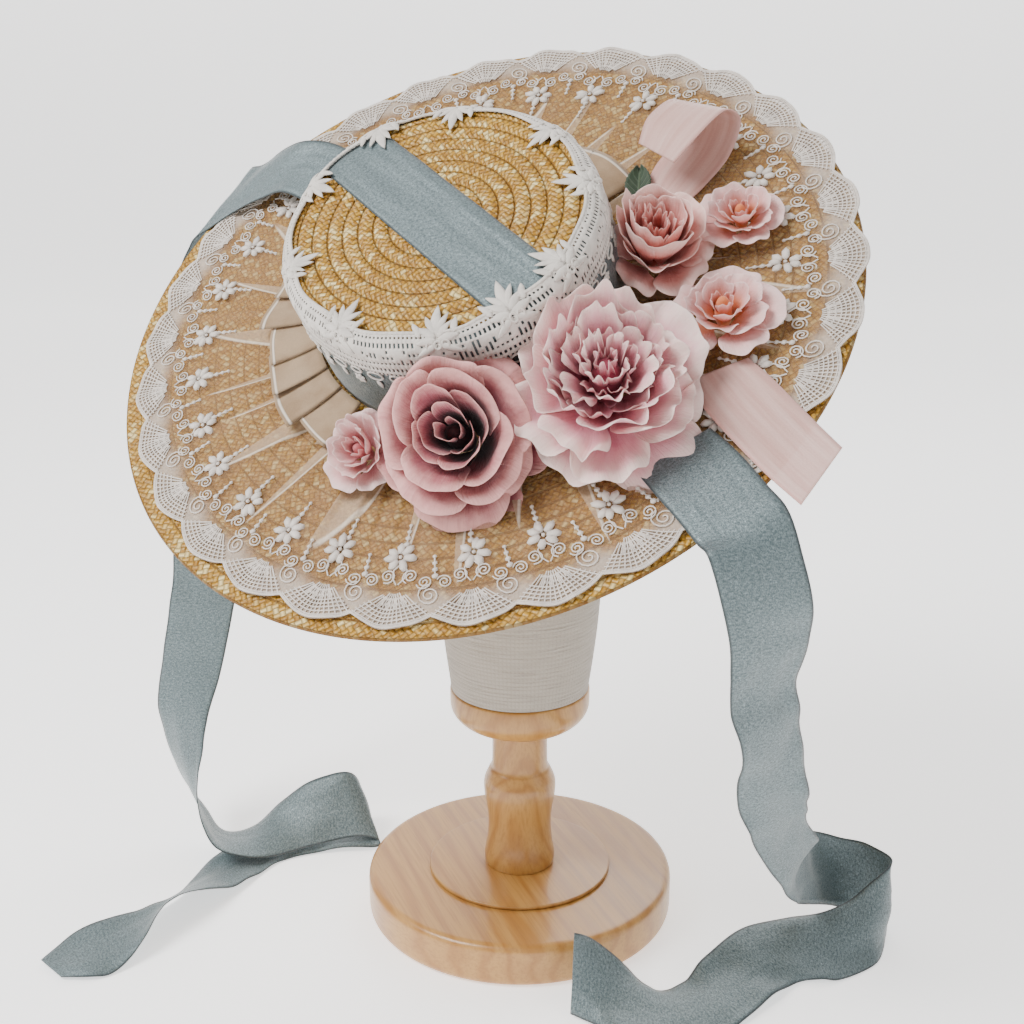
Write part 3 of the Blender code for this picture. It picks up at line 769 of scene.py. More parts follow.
def crown_point(angle, share, offset=0.0):
    """A point of the crown's outer face: share 0 to 1 climbs the side, 1 to 2 rounds the edge.

    From 2 to 3 it crosses the tip to its middle. The offset moves it straight off the face.
    """
    if share <= 1.0:
        height = blend(STRAW / 2 + GAP, CROWN_HEIGHT - CROWN_ROUNDING, share)
        return polar(crown_radius(angle) + offset, angle, height)
    if share <= 2.0:
        bend = math.radians(90.0 * (share - 1.0))
        drop = CROWN_ROUNDING + offset
        radius = crown_radius(angle) - CROWN_ROUNDING + drop * math.cos(bend)
        return polar(radius, angle, CROWN_HEIGHT - CROWN_ROUNDING + drop * math.sin(bend))
    radius = (crown_radius(angle) - CROWN_ROUNDING) * (3.0 - share)
    return polar(radius, angle, CROWN_HEIGHT + offset)


def plait_height(along, across):
    """How high a plaited braid stands, 0 to 1, at this count of plaits and place across it."""
    fall, rise = along + 2.0 * across, along - 2.0 * across
    over = (math.floor(fall) + math.floor(rise)) % 2 == 0
    return math.sin(math.pi * ((rise if over else fall) % 1.0))


def build_crown():
    """Braid rows from the crown's foot up its side, round its edge and in to the tip's middle."""
    rows = CROWN_SIDE_ROWS + CROWN_EDGE_ROWS + CROWN_TIP_ROWS
    cells = len(ROW_SAMPLES) - 1
    steps = 432

    def row_share(row):
        if row <= CROWN_SIDE_ROWS:
            return row / CROWN_SIDE_ROWS
        row -= CROWN_SIDE_ROWS
        if row <= CROWN_EDGE_ROWS:
            return 1.0 + row / CROWN_EDGE_ROWS
        return 2.0 + (row - CROWN_EDGE_ROWS) / CROWN_TIP_ROWS

    def plaits(row):
        share = row_share(row + 0.5)
        radius = CROWN_LONG if share < 2.0 else CROWN_LONG * (3.0 - share)
        return max(3, round(math.tau * radius / PLAIT))

    def place(u, v):
        sample = round(v * rows * cells)
        row = min(sample // cells, rows - 1)
        across = ROW_SAMPLES[sample - row * cells]
        angle = u * math.tau
        rounding = 1.0 - (2.0 * across - 1.0) ** 4
        bead = plait_height(u * plaits(row), across) * rounding
        offset = -SEAM_DEPTH * (1.0 - rounding) + PLAIT_FOOT + PLAIT_RELIEF * bead
        if row == rows - 1:
            offset *= 1.0 - across
        return crown_point(angle, row_share(row + across), offset)

    def pattern(u, v, middle):
        row = min(math.floor(middle * rows), rows - 1)
        return u * plaits(row), v * rows

    outer = surface(steps, rows * cells, place, pattern)
    inside = (0.0, 1.0, 1.5, 2.0, 2.5, 3.0)

    def inner(u, v):
        share = inside[round(v * (len(inside) - 1))]
        return crown_point(u * math.tau, share, -STRAW)

    def inner_pattern(u, v, middle):
        return u * plaits(0), v * rows

    take_in(outer, surface(steps, len(inside) - 1, inner, inner_pattern, flip=True))
    rim = [edge for edge in outer.edges if edge.is_boundary]
    bmesh.ops.bridge_loops(outer, edges=rim)
    return piece("straw_crown", outer, straw_finish(), "straw", "hat_crown", matrix=HAT)


def build_brim():
    """Overlapping braid rows out from the crown, above and below, closed at both rims."""
    steps, rows = 288, BRIM_ROWS
    face = STRAW / 2
    # the reach, counted in braids, and the height of each corner of the cross-section
    section = [
        (row + share, face - BRIM_OVERLAP * (1.0 - share))
        for row in range(rows)
        for share in TOP_SAMPLES
    ]
    section += [(rows, face - 0.0005), (rows + 0.06, 0.0)]
    section += [
        (row + share, -face + BRIM_OVERLAP * (1.0 - share))
        for row in reversed(range(rows))
        for share in reversed(UNDER_SAMPLES)
    ]
    section.append(section[0])

    def plaits(row):
        radius = blend(CROWN_LONG, BRIM_RADIUS, (row + 0.5) / rows)
        return round(math.tau * radius / PLAIT)

    def place(u, v):
        reach, height = section[round(v * (len(section) - 1))]
        angle = u * math.tau
        inner = crown_radius(angle) - STRAW
        radius = blend(inner, BRIM_RADIUS, reach / rows)
        return polar(min(radius, BRIM_RADIUS + 0.0005), angle, height)

    def pattern(u, v, middle):
        cell = math.floor(middle * (len(section) - 1))
        row = min(math.floor((section[cell][0] + section[cell + 1][0]) / 2), rows - 1)
        reach = section[round(v * (len(section) - 1))][0]
        return u * plaits(row), min(max(reach, row + 0.02), row + 0.98)

    bm = surface(steps, len(section) - 1, place, pattern)
    bmesh.ops.recalc_face_normals(bm, faces=bm.faces)
    return piece("straw_brim", bm, FINISHES["straw"], "straw", "hat_brim", matrix=HAT)


# Brim lace


def fold_profile(angle):
    """How high the tulle stands at this turn, 0 to 1: each gather leans over to one side."""
    wander = 0.32 * math.sin(7.0 * angle + 1.3) + 0.22 * math.sin(13.0 * angle)
    place = (GATHERS * angle / math.tau + wander) % 1.0
    if place < GATHER_LEAN:
        return smoothstep(place / GATHER_LEAN)
    return smoothstep((1.0 - place) / (1.0 - GATHER_LEAN))


def lace_reach(angle):
    """The radii at this turn where the lace starts at the crown and ends in its scallops."""
    scallop = abs(math.sin(0.5 * SCALLOPS * angle))
    return crown_radius(angle) + LACE_INSET, LACE_RADIUS - SCALLOP_DEPTH * (1.0 - scallop)


def lace_point(angle, out, lift=0.0):
    """A point of the brim lace: out runs from 0 at the crown to 1 at the scalloped edge."""
    inner, outer = lace_reach(angle)
    foot = STRAW / 2 + GAP + CLOTH_LIFT
    fold = fold_profile(angle) * FOLD_HEIGHT * (1.0 - 0.85 * smoothstep(out))
    edge = 0.0006 * (1.0 + math.sin(2.0 * SCALLOPS * angle)) * smoothstep((out - 0.7) / 0.3)
    shift = Vector((*LACE_SHIFT, 0.0)) * out
    return polar(blend(inner, outer, out), angle, foot + fold + edge + lift) + shift


def build_tulle():
    steps, rows = 900, 10

    def place(u, v):
        return lace_point(u * math.tau, v)

    def pattern(u, v, middle):
        return u * GATHERS, v

    bm = surface(steps, rows, place, pattern, flip=True)
    return piece("brim_tulle", bm, tulle_finish(), "lace", "brim_lace", matrix=HAT)


class Embroidery:
    """Threads, dots and petals laid on the gathered tulle, in one curve and one mesh."""

    def __init__(self):
        self.curve = bpy.data.curves.new("lace_threads", "CURVE")
        self.curve.dimensions = "3D"
        self.curve.bevel_depth = THREAD
        self.curve.bevel_resolution = 0
        self.curve.use_fill_caps = True
        self.domes = bmesh.new()

    def thread(self, points):
        spline = self.curve.splines.new("POLY")
        spline.points.add(len(points) - 1)
        for place, point in zip(spline.points, points):
            place.co = (*(HAT @ point), 1.0)

    def dome(self, middle, along, length, width, height):
        """A satin-stitched petal or dot: a low dome of this length along its own direction."""
        matrix = Matrix.Translation(middle) @ Matrix.Rotation(math.atan2(along.y, along.x), 4, "Z")
        shape = Matrix.Diagonal((length / 2, width / 2, height, 1.0))
        matrix = HAT @ matrix @ shape
        bmesh.ops.create_icosphere(self.domes, subdivisions=1, radius=1.0, matrix=matrix)


def on_lace(scallop, sideways, inward, lift):
    """The point this far sideways from a scallop's middle and this far in from its edge circle."""
    radius = LACE_RADIUS - inward
    angle = (scallop + 0.5) * SCALLOP_PITCH + sideways / radius
    inner, outer = lace_reach(angle)
    return lace_point(angle, (radius - inner) / (outer - inner), lift)


def spread(count, reach):
    """This many numbers, evenly from -reach to reach."""
    return [reach * (step / (count - 1) * 2 - 1) for step in range(count)]


def spiral(scallop, sideways, inward, size, sense, start):
    """A scroll of two turns, with its open end at start."""
    points, steps = [], 24
    for step in range(steps + 1):
        share = step / steps
        turn = math.radians(start) + sense * share * 2.0 * math.tau
        reach = size * (1.0 - 0.86 * share)
        across, up = reach * math.cos(turn), reach * math.sin(turn)
        points.append(on_lace(scallop, sideways + across, inward + up, THREAD * 1.4))
    return points


def build_embroidery():
    """A fan in each scallop, with scrolls, stems, a flower and sprigs inside it."""
    draw = random.Random(11)
    work = Embroidery()
    half = 0.5 * SCALLOP_PITCH * LACE_RADIUS
    lift = THREAD * 1.2
    apex = 0.0235

    def fan(scallop, share, side):
        """From the fan's apex, share 0, to the scallop's edge, share 1, at side -1 to 1."""
        depth = SCALLOP_DEPTH * (1.0 - abs(math.cos(0.5 * math.pi * side)))
        edge_side, edge_in = side * half, depth + 0.0006
        return on_lace(scallop, edge_side * share, blend(apex, edge_in, share), lift)

    def flower(scallop, sideways, inward, size):
        raised, petals = 0.0006, 7
        heart = on_lace(scallop, sideways, inward, raised)
        for petal in range(petals):
            turn = math.radians(90 + 360 * petal / petals + draw.uniform(-14, 14))
            across, up = size * 0.52 * math.cos(turn), size * 0.52 * math.sin(turn)
            middle = on_lace(scallop, sideways + across, inward + up, raised)
            length = size * draw.uniform(0.70, 0.95)
            work.dome(middle, middle - heart, length, size * 0.48, 0.0012)
        top = on_lace(scallop, sideways, inward, 0.0010)
        work.dome(top, Vector((1, 0, 0)), 0.0022, 0.0022, 0.0009)

    def sprig(scallop, sideways, inward, dots=4):
        """Dots on a stem, the smallest of them nearest the crown."""
        spacing, largest = 0.0036, 0.0030
        points = [on_lace(scallop, sideways, inward + step * spacing, lift) for step in range(dots)]
        work.thread(points)
        for step, point in enumerate(points):
            size = largest * (0.62 + 0.16 * (dots - step))
            work.dome(point, Vector((1, 0.3, 0)), size, size * 0.8, 0.0009)

    # how far out along the fan each arc of thread lies
    inner_arc, *outer_arcs = 0.34, 0.58, 0.67, 0.76, 0.85, 0.94, 0.975, 1.0
    # how far sideways and how far in from the edge a stem goes
    stem = ((0.0005, 0.0240), (0.0030, 0.0275), (0.0035, 0.0320), (0.0008, 0.0350))
    for scallop in range(SCALLOPS):
        work.thread([fan(scallop, inner_arc, side) for side in spread(9, 0.80)])
        for share in outer_arcs:
            work.thread([fan(scallop, share, side) for side in spread(17, 1.0)])
        for ray in range(15):
            side = (ray + 0.5) / 15 * 2 - 1
            work.thread([fan(scallop, share, side) for share in (0.30, 0.65, 1.0)])
        for ray in range(7):
            side = (ray + 0.5) / 7 * 1.4 - 0.7
            work.thread([fan(scallop, share, side) for share in (0.20, 0.58)])
            dot = fan(scallop, 0.47, side + 0.10)
            work.dome(dot, Vector((side, -1.0, 0.0)), 0.0024, 0.0012, 0.0007)
        work.thread(spiral(scallop, -half, 0.0180, 0.0058, 1, 90))
        for sense in (-1, 1):
            work.thread(spiral(scallop, sense * 0.0058, 0.0285, 0.0040, -sense, 250))
            work.thread(spiral(scallop, sense * 0.0133, 0.0252, 0.0038, sense, 200 * sense))
            work.thread([on_lace(scallop, sense * across, inward, lift) for across, inward in stem])
        flower(scallop, draw.uniform(-0.0015, 0.0015), 0.0392, 0.0096)
        sprig(scallop, 0.0, 0.0465)
        sprig(scallop, -half * 0.86, 0.0285)
    ivory = embroidery_finish("embroidery", (0.78, 0.71, 0.64))
    threads = bpy.data.objects.new("lace_threads", work.curve)
    bpy.context.scene.collection.objects.link(threads)
    work.curve.materials.append(ivory)
    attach(threads, "root")
    petals = piece("lace_petals", work.domes, ivory, "lace")


# Crown trims


def over_strap(x, y):
    """1 where the ribbon crosses the crown, falling to 0 on both sides of it."""
    beside = abs(-x * math.sin(STRAP_TURN) + y * math.cos(STRAP_TURN))
    return smoothstep((0.032 - beside) / 0.008)


def crown_lace_point(angle, share, lift=0.0):
    """The lace's surface: over the crown, and over the ribbon where that crosses it."""
    flat = crown_point(angle, share)
    raised = GAP + CAD_CLOTH + CAD_CLOTH * over_strap(flat.x, flat.y)
    return crown_point(angle, share, raised + lift)


def build_crown_band():
    """The ribbon round the crown, from near its foot up to under the lace's top."""
    foot_share = (BAND_FOOT - STRAW / 2 - GAP) / CROWN_SIDE

    def place(u, v):
        return crown_point(u * math.tau, blend(foot_share, BAND_SHARE, v), GAP + CLOTH_LIFT)

    def pattern(u, v, middle):
        return 0.03 + 0.94 * v, u * math.tau * CROWN_LONG

    bm = surface(180, 16, place, pattern)
    blue = FINISHES["blue_ribbon"]
    band = piece("crown_band_look", bm, blue, "blue_ribbon", "crown_band", matrix=HAT)
    wall(band, THIN_WALL)


def inward_share(inward):
    """The share up the crown's face, and the radius there, this far in from the side's top."""
    arc = CROWN_ROUNDING * math.pi / 2
    if inward < 0.0:
        return 1.0 + inward / CROWN_SIDE, CROWN_SHORT
    if inward < arc:
        return 1.0 + inward / arc, CROWN_SHORT
    radius = CROWN_SHORT - CROWN_ROUNDING - (inward - arc)
    return 2.0 + (inward - arc) / (CROWN_SHORT - CROWN_ROUNDING), radius


def build_crown_lace():
    """Guipure lace: a pierced band, clusters of leaves over the tip's edge, loops below it."""
    columns = 450
    cells = len(LACE_ROWS) - 1

    def place(u, v):
        angle = u * math.tau
        swag = 0.05 * math.sin(10.0 * angle) * v
        return crown_lace_point(angle, LACE_ROWS[round(v * cells)][0] + swag)

    bm = surface(columns, cells, place)
    layer = bm.loops.layers.uv.active
    draw = random.Random(5)
    holes = []
    for face in bm.faces:
        middle = sum((loop[layer].uv for loop in face.loops), Vector((0.0, 0.0))) / len(face.loops)
        row, column = math.floor(middle.y * cells), math.floor(middle.x * columns)
        if column % 2 == 0 and draw.random() < LACE_ROWS[row][1]:
            holes.append(face)
    bmesh.ops.delete(bm, geom=holes, context="FACES")
    guipure = embroidery_finish("guipure", (0.72, 0.67, 0.61))
    lace = piece("crown_lace_look", bm, guipure, "lace", "crown_lace", matrix=HAT)
    wall(lace, LACE_WALL)
    leaves = bmesh.new()

    def leaf(angle, start, heading, length, width, lift):
        """A pointed leaf on the crown's face, heading this far round from straight up it."""
        reach_up, reach_round = math.cos(heading), math.sin(heading)
        bend = draw.uniform(-0.25, 0.25)

        def place(u, v):
            outline = math.sin(math.pi * v**0.8) ** 0.9
            sideways = (u - 0.5) * width * outline + bend * length * v**2 * 0.5
            keel = 0.0007 * outline * (1.0 - abs(2.0 * u - 1.0))
            inward = start + v * length * reach_up - sideways * reach_round
            around = v * length * reach_round + sideways * reach_up
            share, local = inward_share(inward)
            return crown_lace_point(angle + around / local, share, lift + keel)

        take_in(leaves, surface(4, 7, place))

    def cord(angle, inward, half_round, half_up, lift, turns=20):
        """A raised oval loop of cord, this far round and up the crown from its middle."""

        def place(u, v):
            turn, ring = u * math.tau, v * math.tau
            thick, raised = CORD * math.cos(ring), CORD * math.sin(ring)
            share, local = inward_share(inward + (half_up + thick) * math.sin(turn))
            around = (half_round + thick) * math.cos(turn)
            return crown_lace_point(angle + around / local, share, lift + raised)

        take_in(leaves, surface(turns, 5, place))

    def edge_cord(u, v):
        angle, ring = u * math.tau, v * math.tau
        share = LACE_ROWS[-1][0] + 0.05 * math.sin(10.0 * angle) + 0.045 * math.cos(ring)
        bead = 0.0002 * math.sin(170.0 * angle)
        return crown_lace_point(angle, share, (0.0006 + bead) * math.sin(ring) + 0.0002)

    take_in(leaves, surface(720, 6, edge_cord))
    for degrees in CROWN_MOTIFS:
        angle = math.radians(degrees + 2.0)
        lean = draw.uniform(-12, 12)
        for aside, heading, length, width, start, lift in LACE_CLUSTER:
            leaf(angle + aside, start, math.radians(heading + lean), length, width, lift)
        for around in (-0.045, 0.0, 0.045):
            cord(angle + around, 0.0065, 0.0016, 0.0016, 0.0005, 12)
    # sprigs and loops that hang over the band below the lace
    for hanging in range(HANGING_SPRIGS):
        angle = (hanging + 0.5) * math.tau / HANGING_SPRIGS
        for petal in range(6):
            leaf(angle, -0.0190, math.radians(60 * petal + 15), 0.0036, 0.0026, 0.0002)
        cord(angle, -0.0130, 0.0030, 0.0020, 0.0000)
        aside = angle + 0.5 * math.tau / HANGING_SPRIGS
        cord(aside, -0.0135, 0.0042, 0.0026, 0.0000)
        leaf(aside, -0.0165, math.radians(170), 0.0060, 0.0030, 0.0001)
    motifs = piece("crown_lace_motifs", leaves, guipure, "lace", matrix=HAT)
    wall(motifs, THIN_WALL)


def build_pleats():
    """Knife pleats that stand out round the crown's foot, each with a hemmed outer edge."""
    foot = STRAW / 2 + GAP + CLOTH_LIFT + GATHER_HEIGHT + CAD_CLOTH
    depth = 0.0042
    start, stop = (math.radians(angle) for angle in PLEAT_ARC)
    forward, back = 10, 4
    cells = forward + back

    def place(u, v):
        pleat, part = divmod(round(u * cells * PLEATS), cells)
        if part <= forward:
            share = part / forward
            across, raised = blend(-0.35, 1.0, share), blend(0.08, 1.0, share ** 0.6)
        else:
            share = (part - forward) / back
            across, raised = blend(1.0, 0.65, share), blend(1.0, 0.08, share)
        angle = blend(start, stop, (pleat + across) / PLEATS)
        flutter = 0.0020 * math.sin(2.4 * pleat + 3.0 * across) * v
        reach = PLEAT_WIDTH * v * (0.97 + 0.10 * math.sin(2.1 * pleat) + 0.05 * across)
        sag = 0.003 * (1.0 - v) ** 2
        height = foot + sag + raised * depth * (0.45 + 0.55 * v) + flutter
        return polar(crown_radius(angle) + 0.0025 + reach, angle, height)

    bm = surface(cells * PLEATS, 8, place, flip=True)
    cream = cream_finish()
    pleats = piece("pleated_trim_look", bm, cream, "cream_cloth", "pleated_trim", matrix=HAT)
    wall(pleats, THIN_WALL)


# Ribbons

# Each row is one cross-section: the middle's place in mm, then the way the ribbon's width runs,
# as its turn from +X and its lean up, in degrees, and the width's share of the full ribbon.

LEFT_OVER_BRIM = (
    # x, y, height above the brim, turn, lean, width
    (-52.7, 71.3, 31.0, 36.5, 0, 1.0),
    (-57.0, 77.5, 24.0, 36.5, 0, 1.0),
    (-66.0, 89.0, 18.5, 36.5, 0, 1.0),
    (-82.0, 107.0, 17.0, 37.0, 2, 1.0),
    (-100.0, 122.0, 17.5, 42.0, 6, 1.0),
    (-118.0, 128.0, 15.0, 48.0, 16, 1.0),
    (-136.0, 129.0, 9.5, 52.0, 9, 1.1),
    (-151.0, 127.0, 5.4, 53.0, 1, 1.2),
    (-161.0, 127.5, 1.8, 52.0, 0, 1.3),
)

LEFT_TAIL = (
    # x, y, z, turn, lean, width
    (-183.0, 116.0, 392.0, 41, 34, 1.25),
    (-187.0, 112.0, 368.0, 36, 18, 1.1),
    (-191.0, 106.0, 336.0, 26, 6, 1.0),
    (-195.0, 98.0, 270.0, 12, 0, 1.0),
    (-198.0, 92.0, 184.0, 0, 0, 1.0),
    (-203.0, 90.0, 152.0, -5, 0, 1.0),
    (-210.0, 86.0, 118.0, -14, 0, 1.0),
    (-217.0, 80.0, 84.0, -28, 4, 1.0),
    (-217.0, 74.0, 61.0, -46, 9, 1.0),
    (-212.0, 66.0, 41.0, -64, 14, 1.0),
    (-203.0, 56.0, 25.0, -78, 16, 1.0),
    (-190.0, 47.0, 13.5, -86, 14, 1.0),
    (-172.0, 50.0, 10.0, -89, 1, 1.0),
    (-155.0, 58.0, 14.0, -88, -24, 1.0),
    (-138.0, 64.0, 20.0, -84, -46, 1.0),
    (-120.0, 68.0, 24.0, -76, -54, 1.0),
    (-107.0, 69.0, 25.5, -66, -52, 1.0),
    (-99.0, 70.0, 21.5, -60, -45, 1.0),
    (-97.0, 72.0, 13.5, -68, -31, 1.0),
    (-103.0, 74.0, 7.2, -82, -15, 1.0),
    (-117.0, 73.0, 4.2, -90, -7, 1.0),
    (-134.0, 69.0, 3.3, -92, -5, 1.0),
    (-153.0, 60.0, 2.8, -85, -4, 1.0),
    (-170.0, 42.0, 2.6, -68, -3, 1.0),
    (-184.0, 20.0, 4.2, -58, 3, 1.0),
    (-194.0, -1.0, 9.8, -66, 18, 1.0),
    (-204.0, -22.0, 12.8, -80, 30, 1.0),
    (-215.0, -41.0, 8.5, -76, 8, 1.0),
    (-229.0, -58.0, 7.0, -70, -12, 1.0),
    (-244.0, -67.0, 5.0, -58, -8, 0.95),
    (-259.0, -77.0, 2.5, -42, -3, 0.5),
)

RIGHT_OVER_BRIM = (
    # x, y, height above the brim, turn, lean, width
    (99.0, -120.0, 5.2, 25, 0, 0.95),
    (109.0, -136.0, 5.2, 21, 0, 1.0),
    (119.0, -154.0, 5.0, 16, 0, 1.0),
    (126.5, -168.0, 4.0, 14, 0, 1.0),
)

RIGHT_TAIL = (
    # x, y, z, turn, lean, width
    (101.0, -175.0, 276.0, 10, 0, 1.0),
    (107.0, -176.0, 254.0, 16, 0, 1.0),
    (111.0, -169.0, 228.0, 26, 0, 1.0),
    (111.0, -162.0, 206.0, 36, 0, 1.0),
    (117.0, -153.0, 176.0, 36, 0, 1.0),
    (122.0, -139.0, 140.0, 36, 0, 1.0),
    (134.0, -117.0, 107.0, 44, 4, 1.0),
    (146.0, -92.0, 78.0, 55, 12, 1.0),
    (154.0, -62.0, 57.0, 72, 28, 1.0),
    (167.0, -31.0, 40.0, 92, 48, 1.0),
    (185.0, -12.0, 26.5, 98, 74, 1.0),
    (204.0, -14.0, 23.0, 84, 84, 1.0),
    (213.0, -32.0, 21.5, 80, 80, 1.0),
    (199.0, -53.0, 16.5, 95, 50, 1.0),
    (177.0, -64.0, 11.0, 88, 26, 1.0),
    (158.0, -66.0, 10.0, 108, 22, 1.0),
    (140.0, -71.0, 9.5, 130, 21, 1.0),
    (121.0, -87.0, 7.5, 142, 14, 1.0),
    (100.0, -107.0, 4.0, 122, 3, 1.0),
    (76.0, -118.0, 3.5, 98, 1, 1.0),
    (54.0, -111.0, 9.5, 74, 18, 1.0),
    (38.0, -107.0, 17.5, 82, 45, 1.0),
    (28.0, -107.0, 21.5, 82, 68, 1.0),
)

ORGANZA_TAIL = (
    # x, y, height above the brim, turn, lean, width
    (123.0, -78.0, 5.4, 14, 0, 0.9),
    (131.0, -94.0, 5.3, 22, 0, 1.0),
    (142.0, -114.0, 5.2, 32, 0, 1.0),
    (153.0, -133.0, 5.2, 42, 0, 1.0),
    (163.0, -150.0, 7.0, 52, 0, 1.0),
)

ORGANZA_LOOP = (
    # x, y, height above the brim, turn, lean, width
    (104.0, 46.0, 5.0, -48, 0, 0.8),
    (114.0, 60.0, 5.0, -44, 0, 1.0),
    (127.0, 75.0, 7.5, -40, 4, 1.1),
    (136.0, 86.0, 18.0, -40, 8, 1.1),
    (130.0, 84.0, 29.0, -42, 8, 1.1),
    (116.0, 68.0, 32.0, -46, 4, 1.05),
    (106.0, 55.0, 28.0, -50, 0, 0.8),
)


RIBBONS = (
    # node, sections in the hat's frame, sections below it, width, finish, ripple, seed
    ("ribbon_left", LEFT_OVER_BRIM, LEFT_TAIL, RIBBON_WIDTH, "blue_ribbon", 0.0036, 2.0),
    ("ribbon_right", RIGHT_OVER_BRIM, RIGHT_TAIL, RIBBON_WIDTH, "blue_ribbon", 0.0060, 7.0),
    ("organza_tail", ORGANZA_TAIL, (), ORGANZA_WIDTH, "pink_organza", 0.0008, 3.0),
    ("organza_loop", ORGANZA_LOOP, (), ORGANZA_WIDTH, "pink_organza", 0.0012, 5.0),
)


def sections(rows, width, matrix=None):
    """One vector of six for each row: the section's middle, then its half width as a vector."""
    found = []
    for x, y, z, turn, lean, share in rows:
        middle = Vector((x, y, z)) / 1000.0
        reach = direction(turn, lean) * (0.5 * width * share)
        if matrix:
            middle = matrix @ middle
            reach = matrix.to_3x3() @ reach
        found.append(Vector((*middle, *reach)))
    return found


def ribbon(node, rows, slot, ripple, seed):
    """A soft flat ribbon through the sections, with slight ripples that grow at its edges."""
    steps, cells = 10, 12
    curve = catmull(rows, steps)
    middles = [Vector(section[:3]) for section in curve]
    travelled = [0.0]
    for before, after in zip(middles, middles[1:]):
        travelled.append(travelled[-1] + (after - before).length)
    last = len(curve) - 1

    def place(u, v):
        index = round(v * last)
        middle, reach = middles[index], Vector(curve[index][3:])
        ahead = middles[min(index + 1, last)] - middles[max(index - 1, 0)]
        up = reach.cross(ahead).normalized()
        side = 2.0 * u - 1.0
        far = travelled[index]
        swell = noise.noise(Vector((far * 26.0, side * 0.9 + seed, seed)))
        flutter = noise.noise(Vector((far * 60.0, side * 1.6 - seed, 4.0 + seed)))
        fade = smoothstep((far - 0.06) / 0.06) * smoothstep((travelled[-1] - far) / 0.01)
        lift = (swell + flutter * 0.35) * ripple * (0.35 + 0.65 * abs(side)) * fade
        point = middle + reach * side + up * lift
        point.z = max(point.z, 0.0008)
        return point

    def pattern(u, v, middle):
        return u, travelled[round(v * last)]

    bm = surface(cells, last, place, pattern)
    obj = piece(node + "_look", bm, FINISHES[slot], slot, node)
    wall(obj, RIBBON_WALL)


def build_ribbons():
    ribbon_finish("blue_ribbon", (0.066, 0.098, 0.105), (0.180, 0.232, 0.242), RIBBON_WIDTH)
    organza_finish()
    for node, on_hat, hanging, width, slot, ripple, seed in RIBBONS:
        rows = sections(on_hat, width, HAT) + sections(hanging, width)
        ribbon(node, rows, slot, ripple, seed)


def build_crown_ribbon():
    """The ribbon across the tip, down the crown's side at both ends."""
    ahead = Vector((math.cos(STRAP_TURN), math.sin(STRAP_TURN), 0.0))
    beside = Vector((ahead.y, -ahead.x, 0.0))
    rows, cells = 72, 16
    length = 0.21

    def edge_angle(sideways, sign):
        """The turn at which a line beside the middle one reaches the edge of the tip."""
        reach = CROWN_LONG
        for _ in range(6):
            point = ahead * (sign * reach) + beside * sideways
            radius = crown_radius(math.atan2(point.y, point.x))
            reach = math.sqrt(radius**2 - sideways**2)
        return math.atan2(point.y, point.x)

    def ridge(u, middle, width, height):
        return math.exp(-(((u - middle) / width) ** 2)) * height

    def place(u, v):
        sideways = (u - 0.5) * RIBBON_WIDTH
        station = (2.0 * v - 1.0) * STRAP_REACH
        sign, far_out = math.copysign(1.0, station), abs(station)
        angle = edge_angle(sideways, sign)
        crease = ridge(u, 0.86, 0.05, 0.0011) + ridge(u, 0.72, 0.035, 0.0007)
        wave = 0.0005 * noise.noise(Vector((station * 3.0, u * 5.0, 1.0)))
        calm = 1.0 - smoothstep((far_out - 0.8) / 0.3)
        offset = GAP + CAD_CLOTH / 2 + (crease + wave) * calm
        if far_out <= 1.0:
            edge = crown_point(angle, 2.0, offset)
            opposite = crown_point(edge_angle(sideways, -sign), 2.0, offset)
            return opposite.lerp(edge, 0.5 + 0.5 * far_out)
        down = (far_out - 1.0) / 0.5
        if down <= 1.0:
            return crown_point(angle, 2.0 - down, offset)
        return crown_point(angle, 1.0 - 0.45 * (down - 1.0), offset)

    def pattern(u, v, middle):
        return u, v * length

    bm = surface(cells, rows, place, pattern)
    blue = FINISHES["blue_ribbon"]
    strap = piece("crown_ribbon_look", bm, blue, "blue_ribbon", "crown_ribbon", matrix=HAT)
    wall(strap, RIBBON_WALL)


# Flowers

# Each row is a whorl of petals: how many, the rim's reach and height, the foot's reach and height,
# as shares of the flower's radius and depth, then the petal's span in degrees, how far its rim
# curls over, its ruffle, its turn and how much painted shade darkens it, most for whorls inside the
# flower.

ROSE = (
    # petals, rim, rim height, foot, foot height, span, curl, ruffle, turn, deep
    (4, 1.26, 0.30, 0.22, 0.10, 78, 0.16, 0.07, 8, 0.40),
    (5, 1.14, 0.52, 0.22, 0.10, 88, 0.40, 0.06, 40, 0.00),
    (5, 0.98, 0.78, 0.24, 0.14, 92, 0.44, 0.05, 12, 0.05),
    (4, 0.76, 0.94, 0.22, 0.16, 108, 0.42, 0.04, 50, 0.15),
    (4, 0.50, 1.00, 0.18, 0.22, 118, 0.22, 0.03, 20, 0.55),
    (3, 0.32, 0.98, 0.14, 0.26, 140, 0.12, 0.03, 75, 0.75),
    (2, 0.17, 1.00, 0.08, 0.30, 190, 0.08, 0.03, 30, 0.60),
)

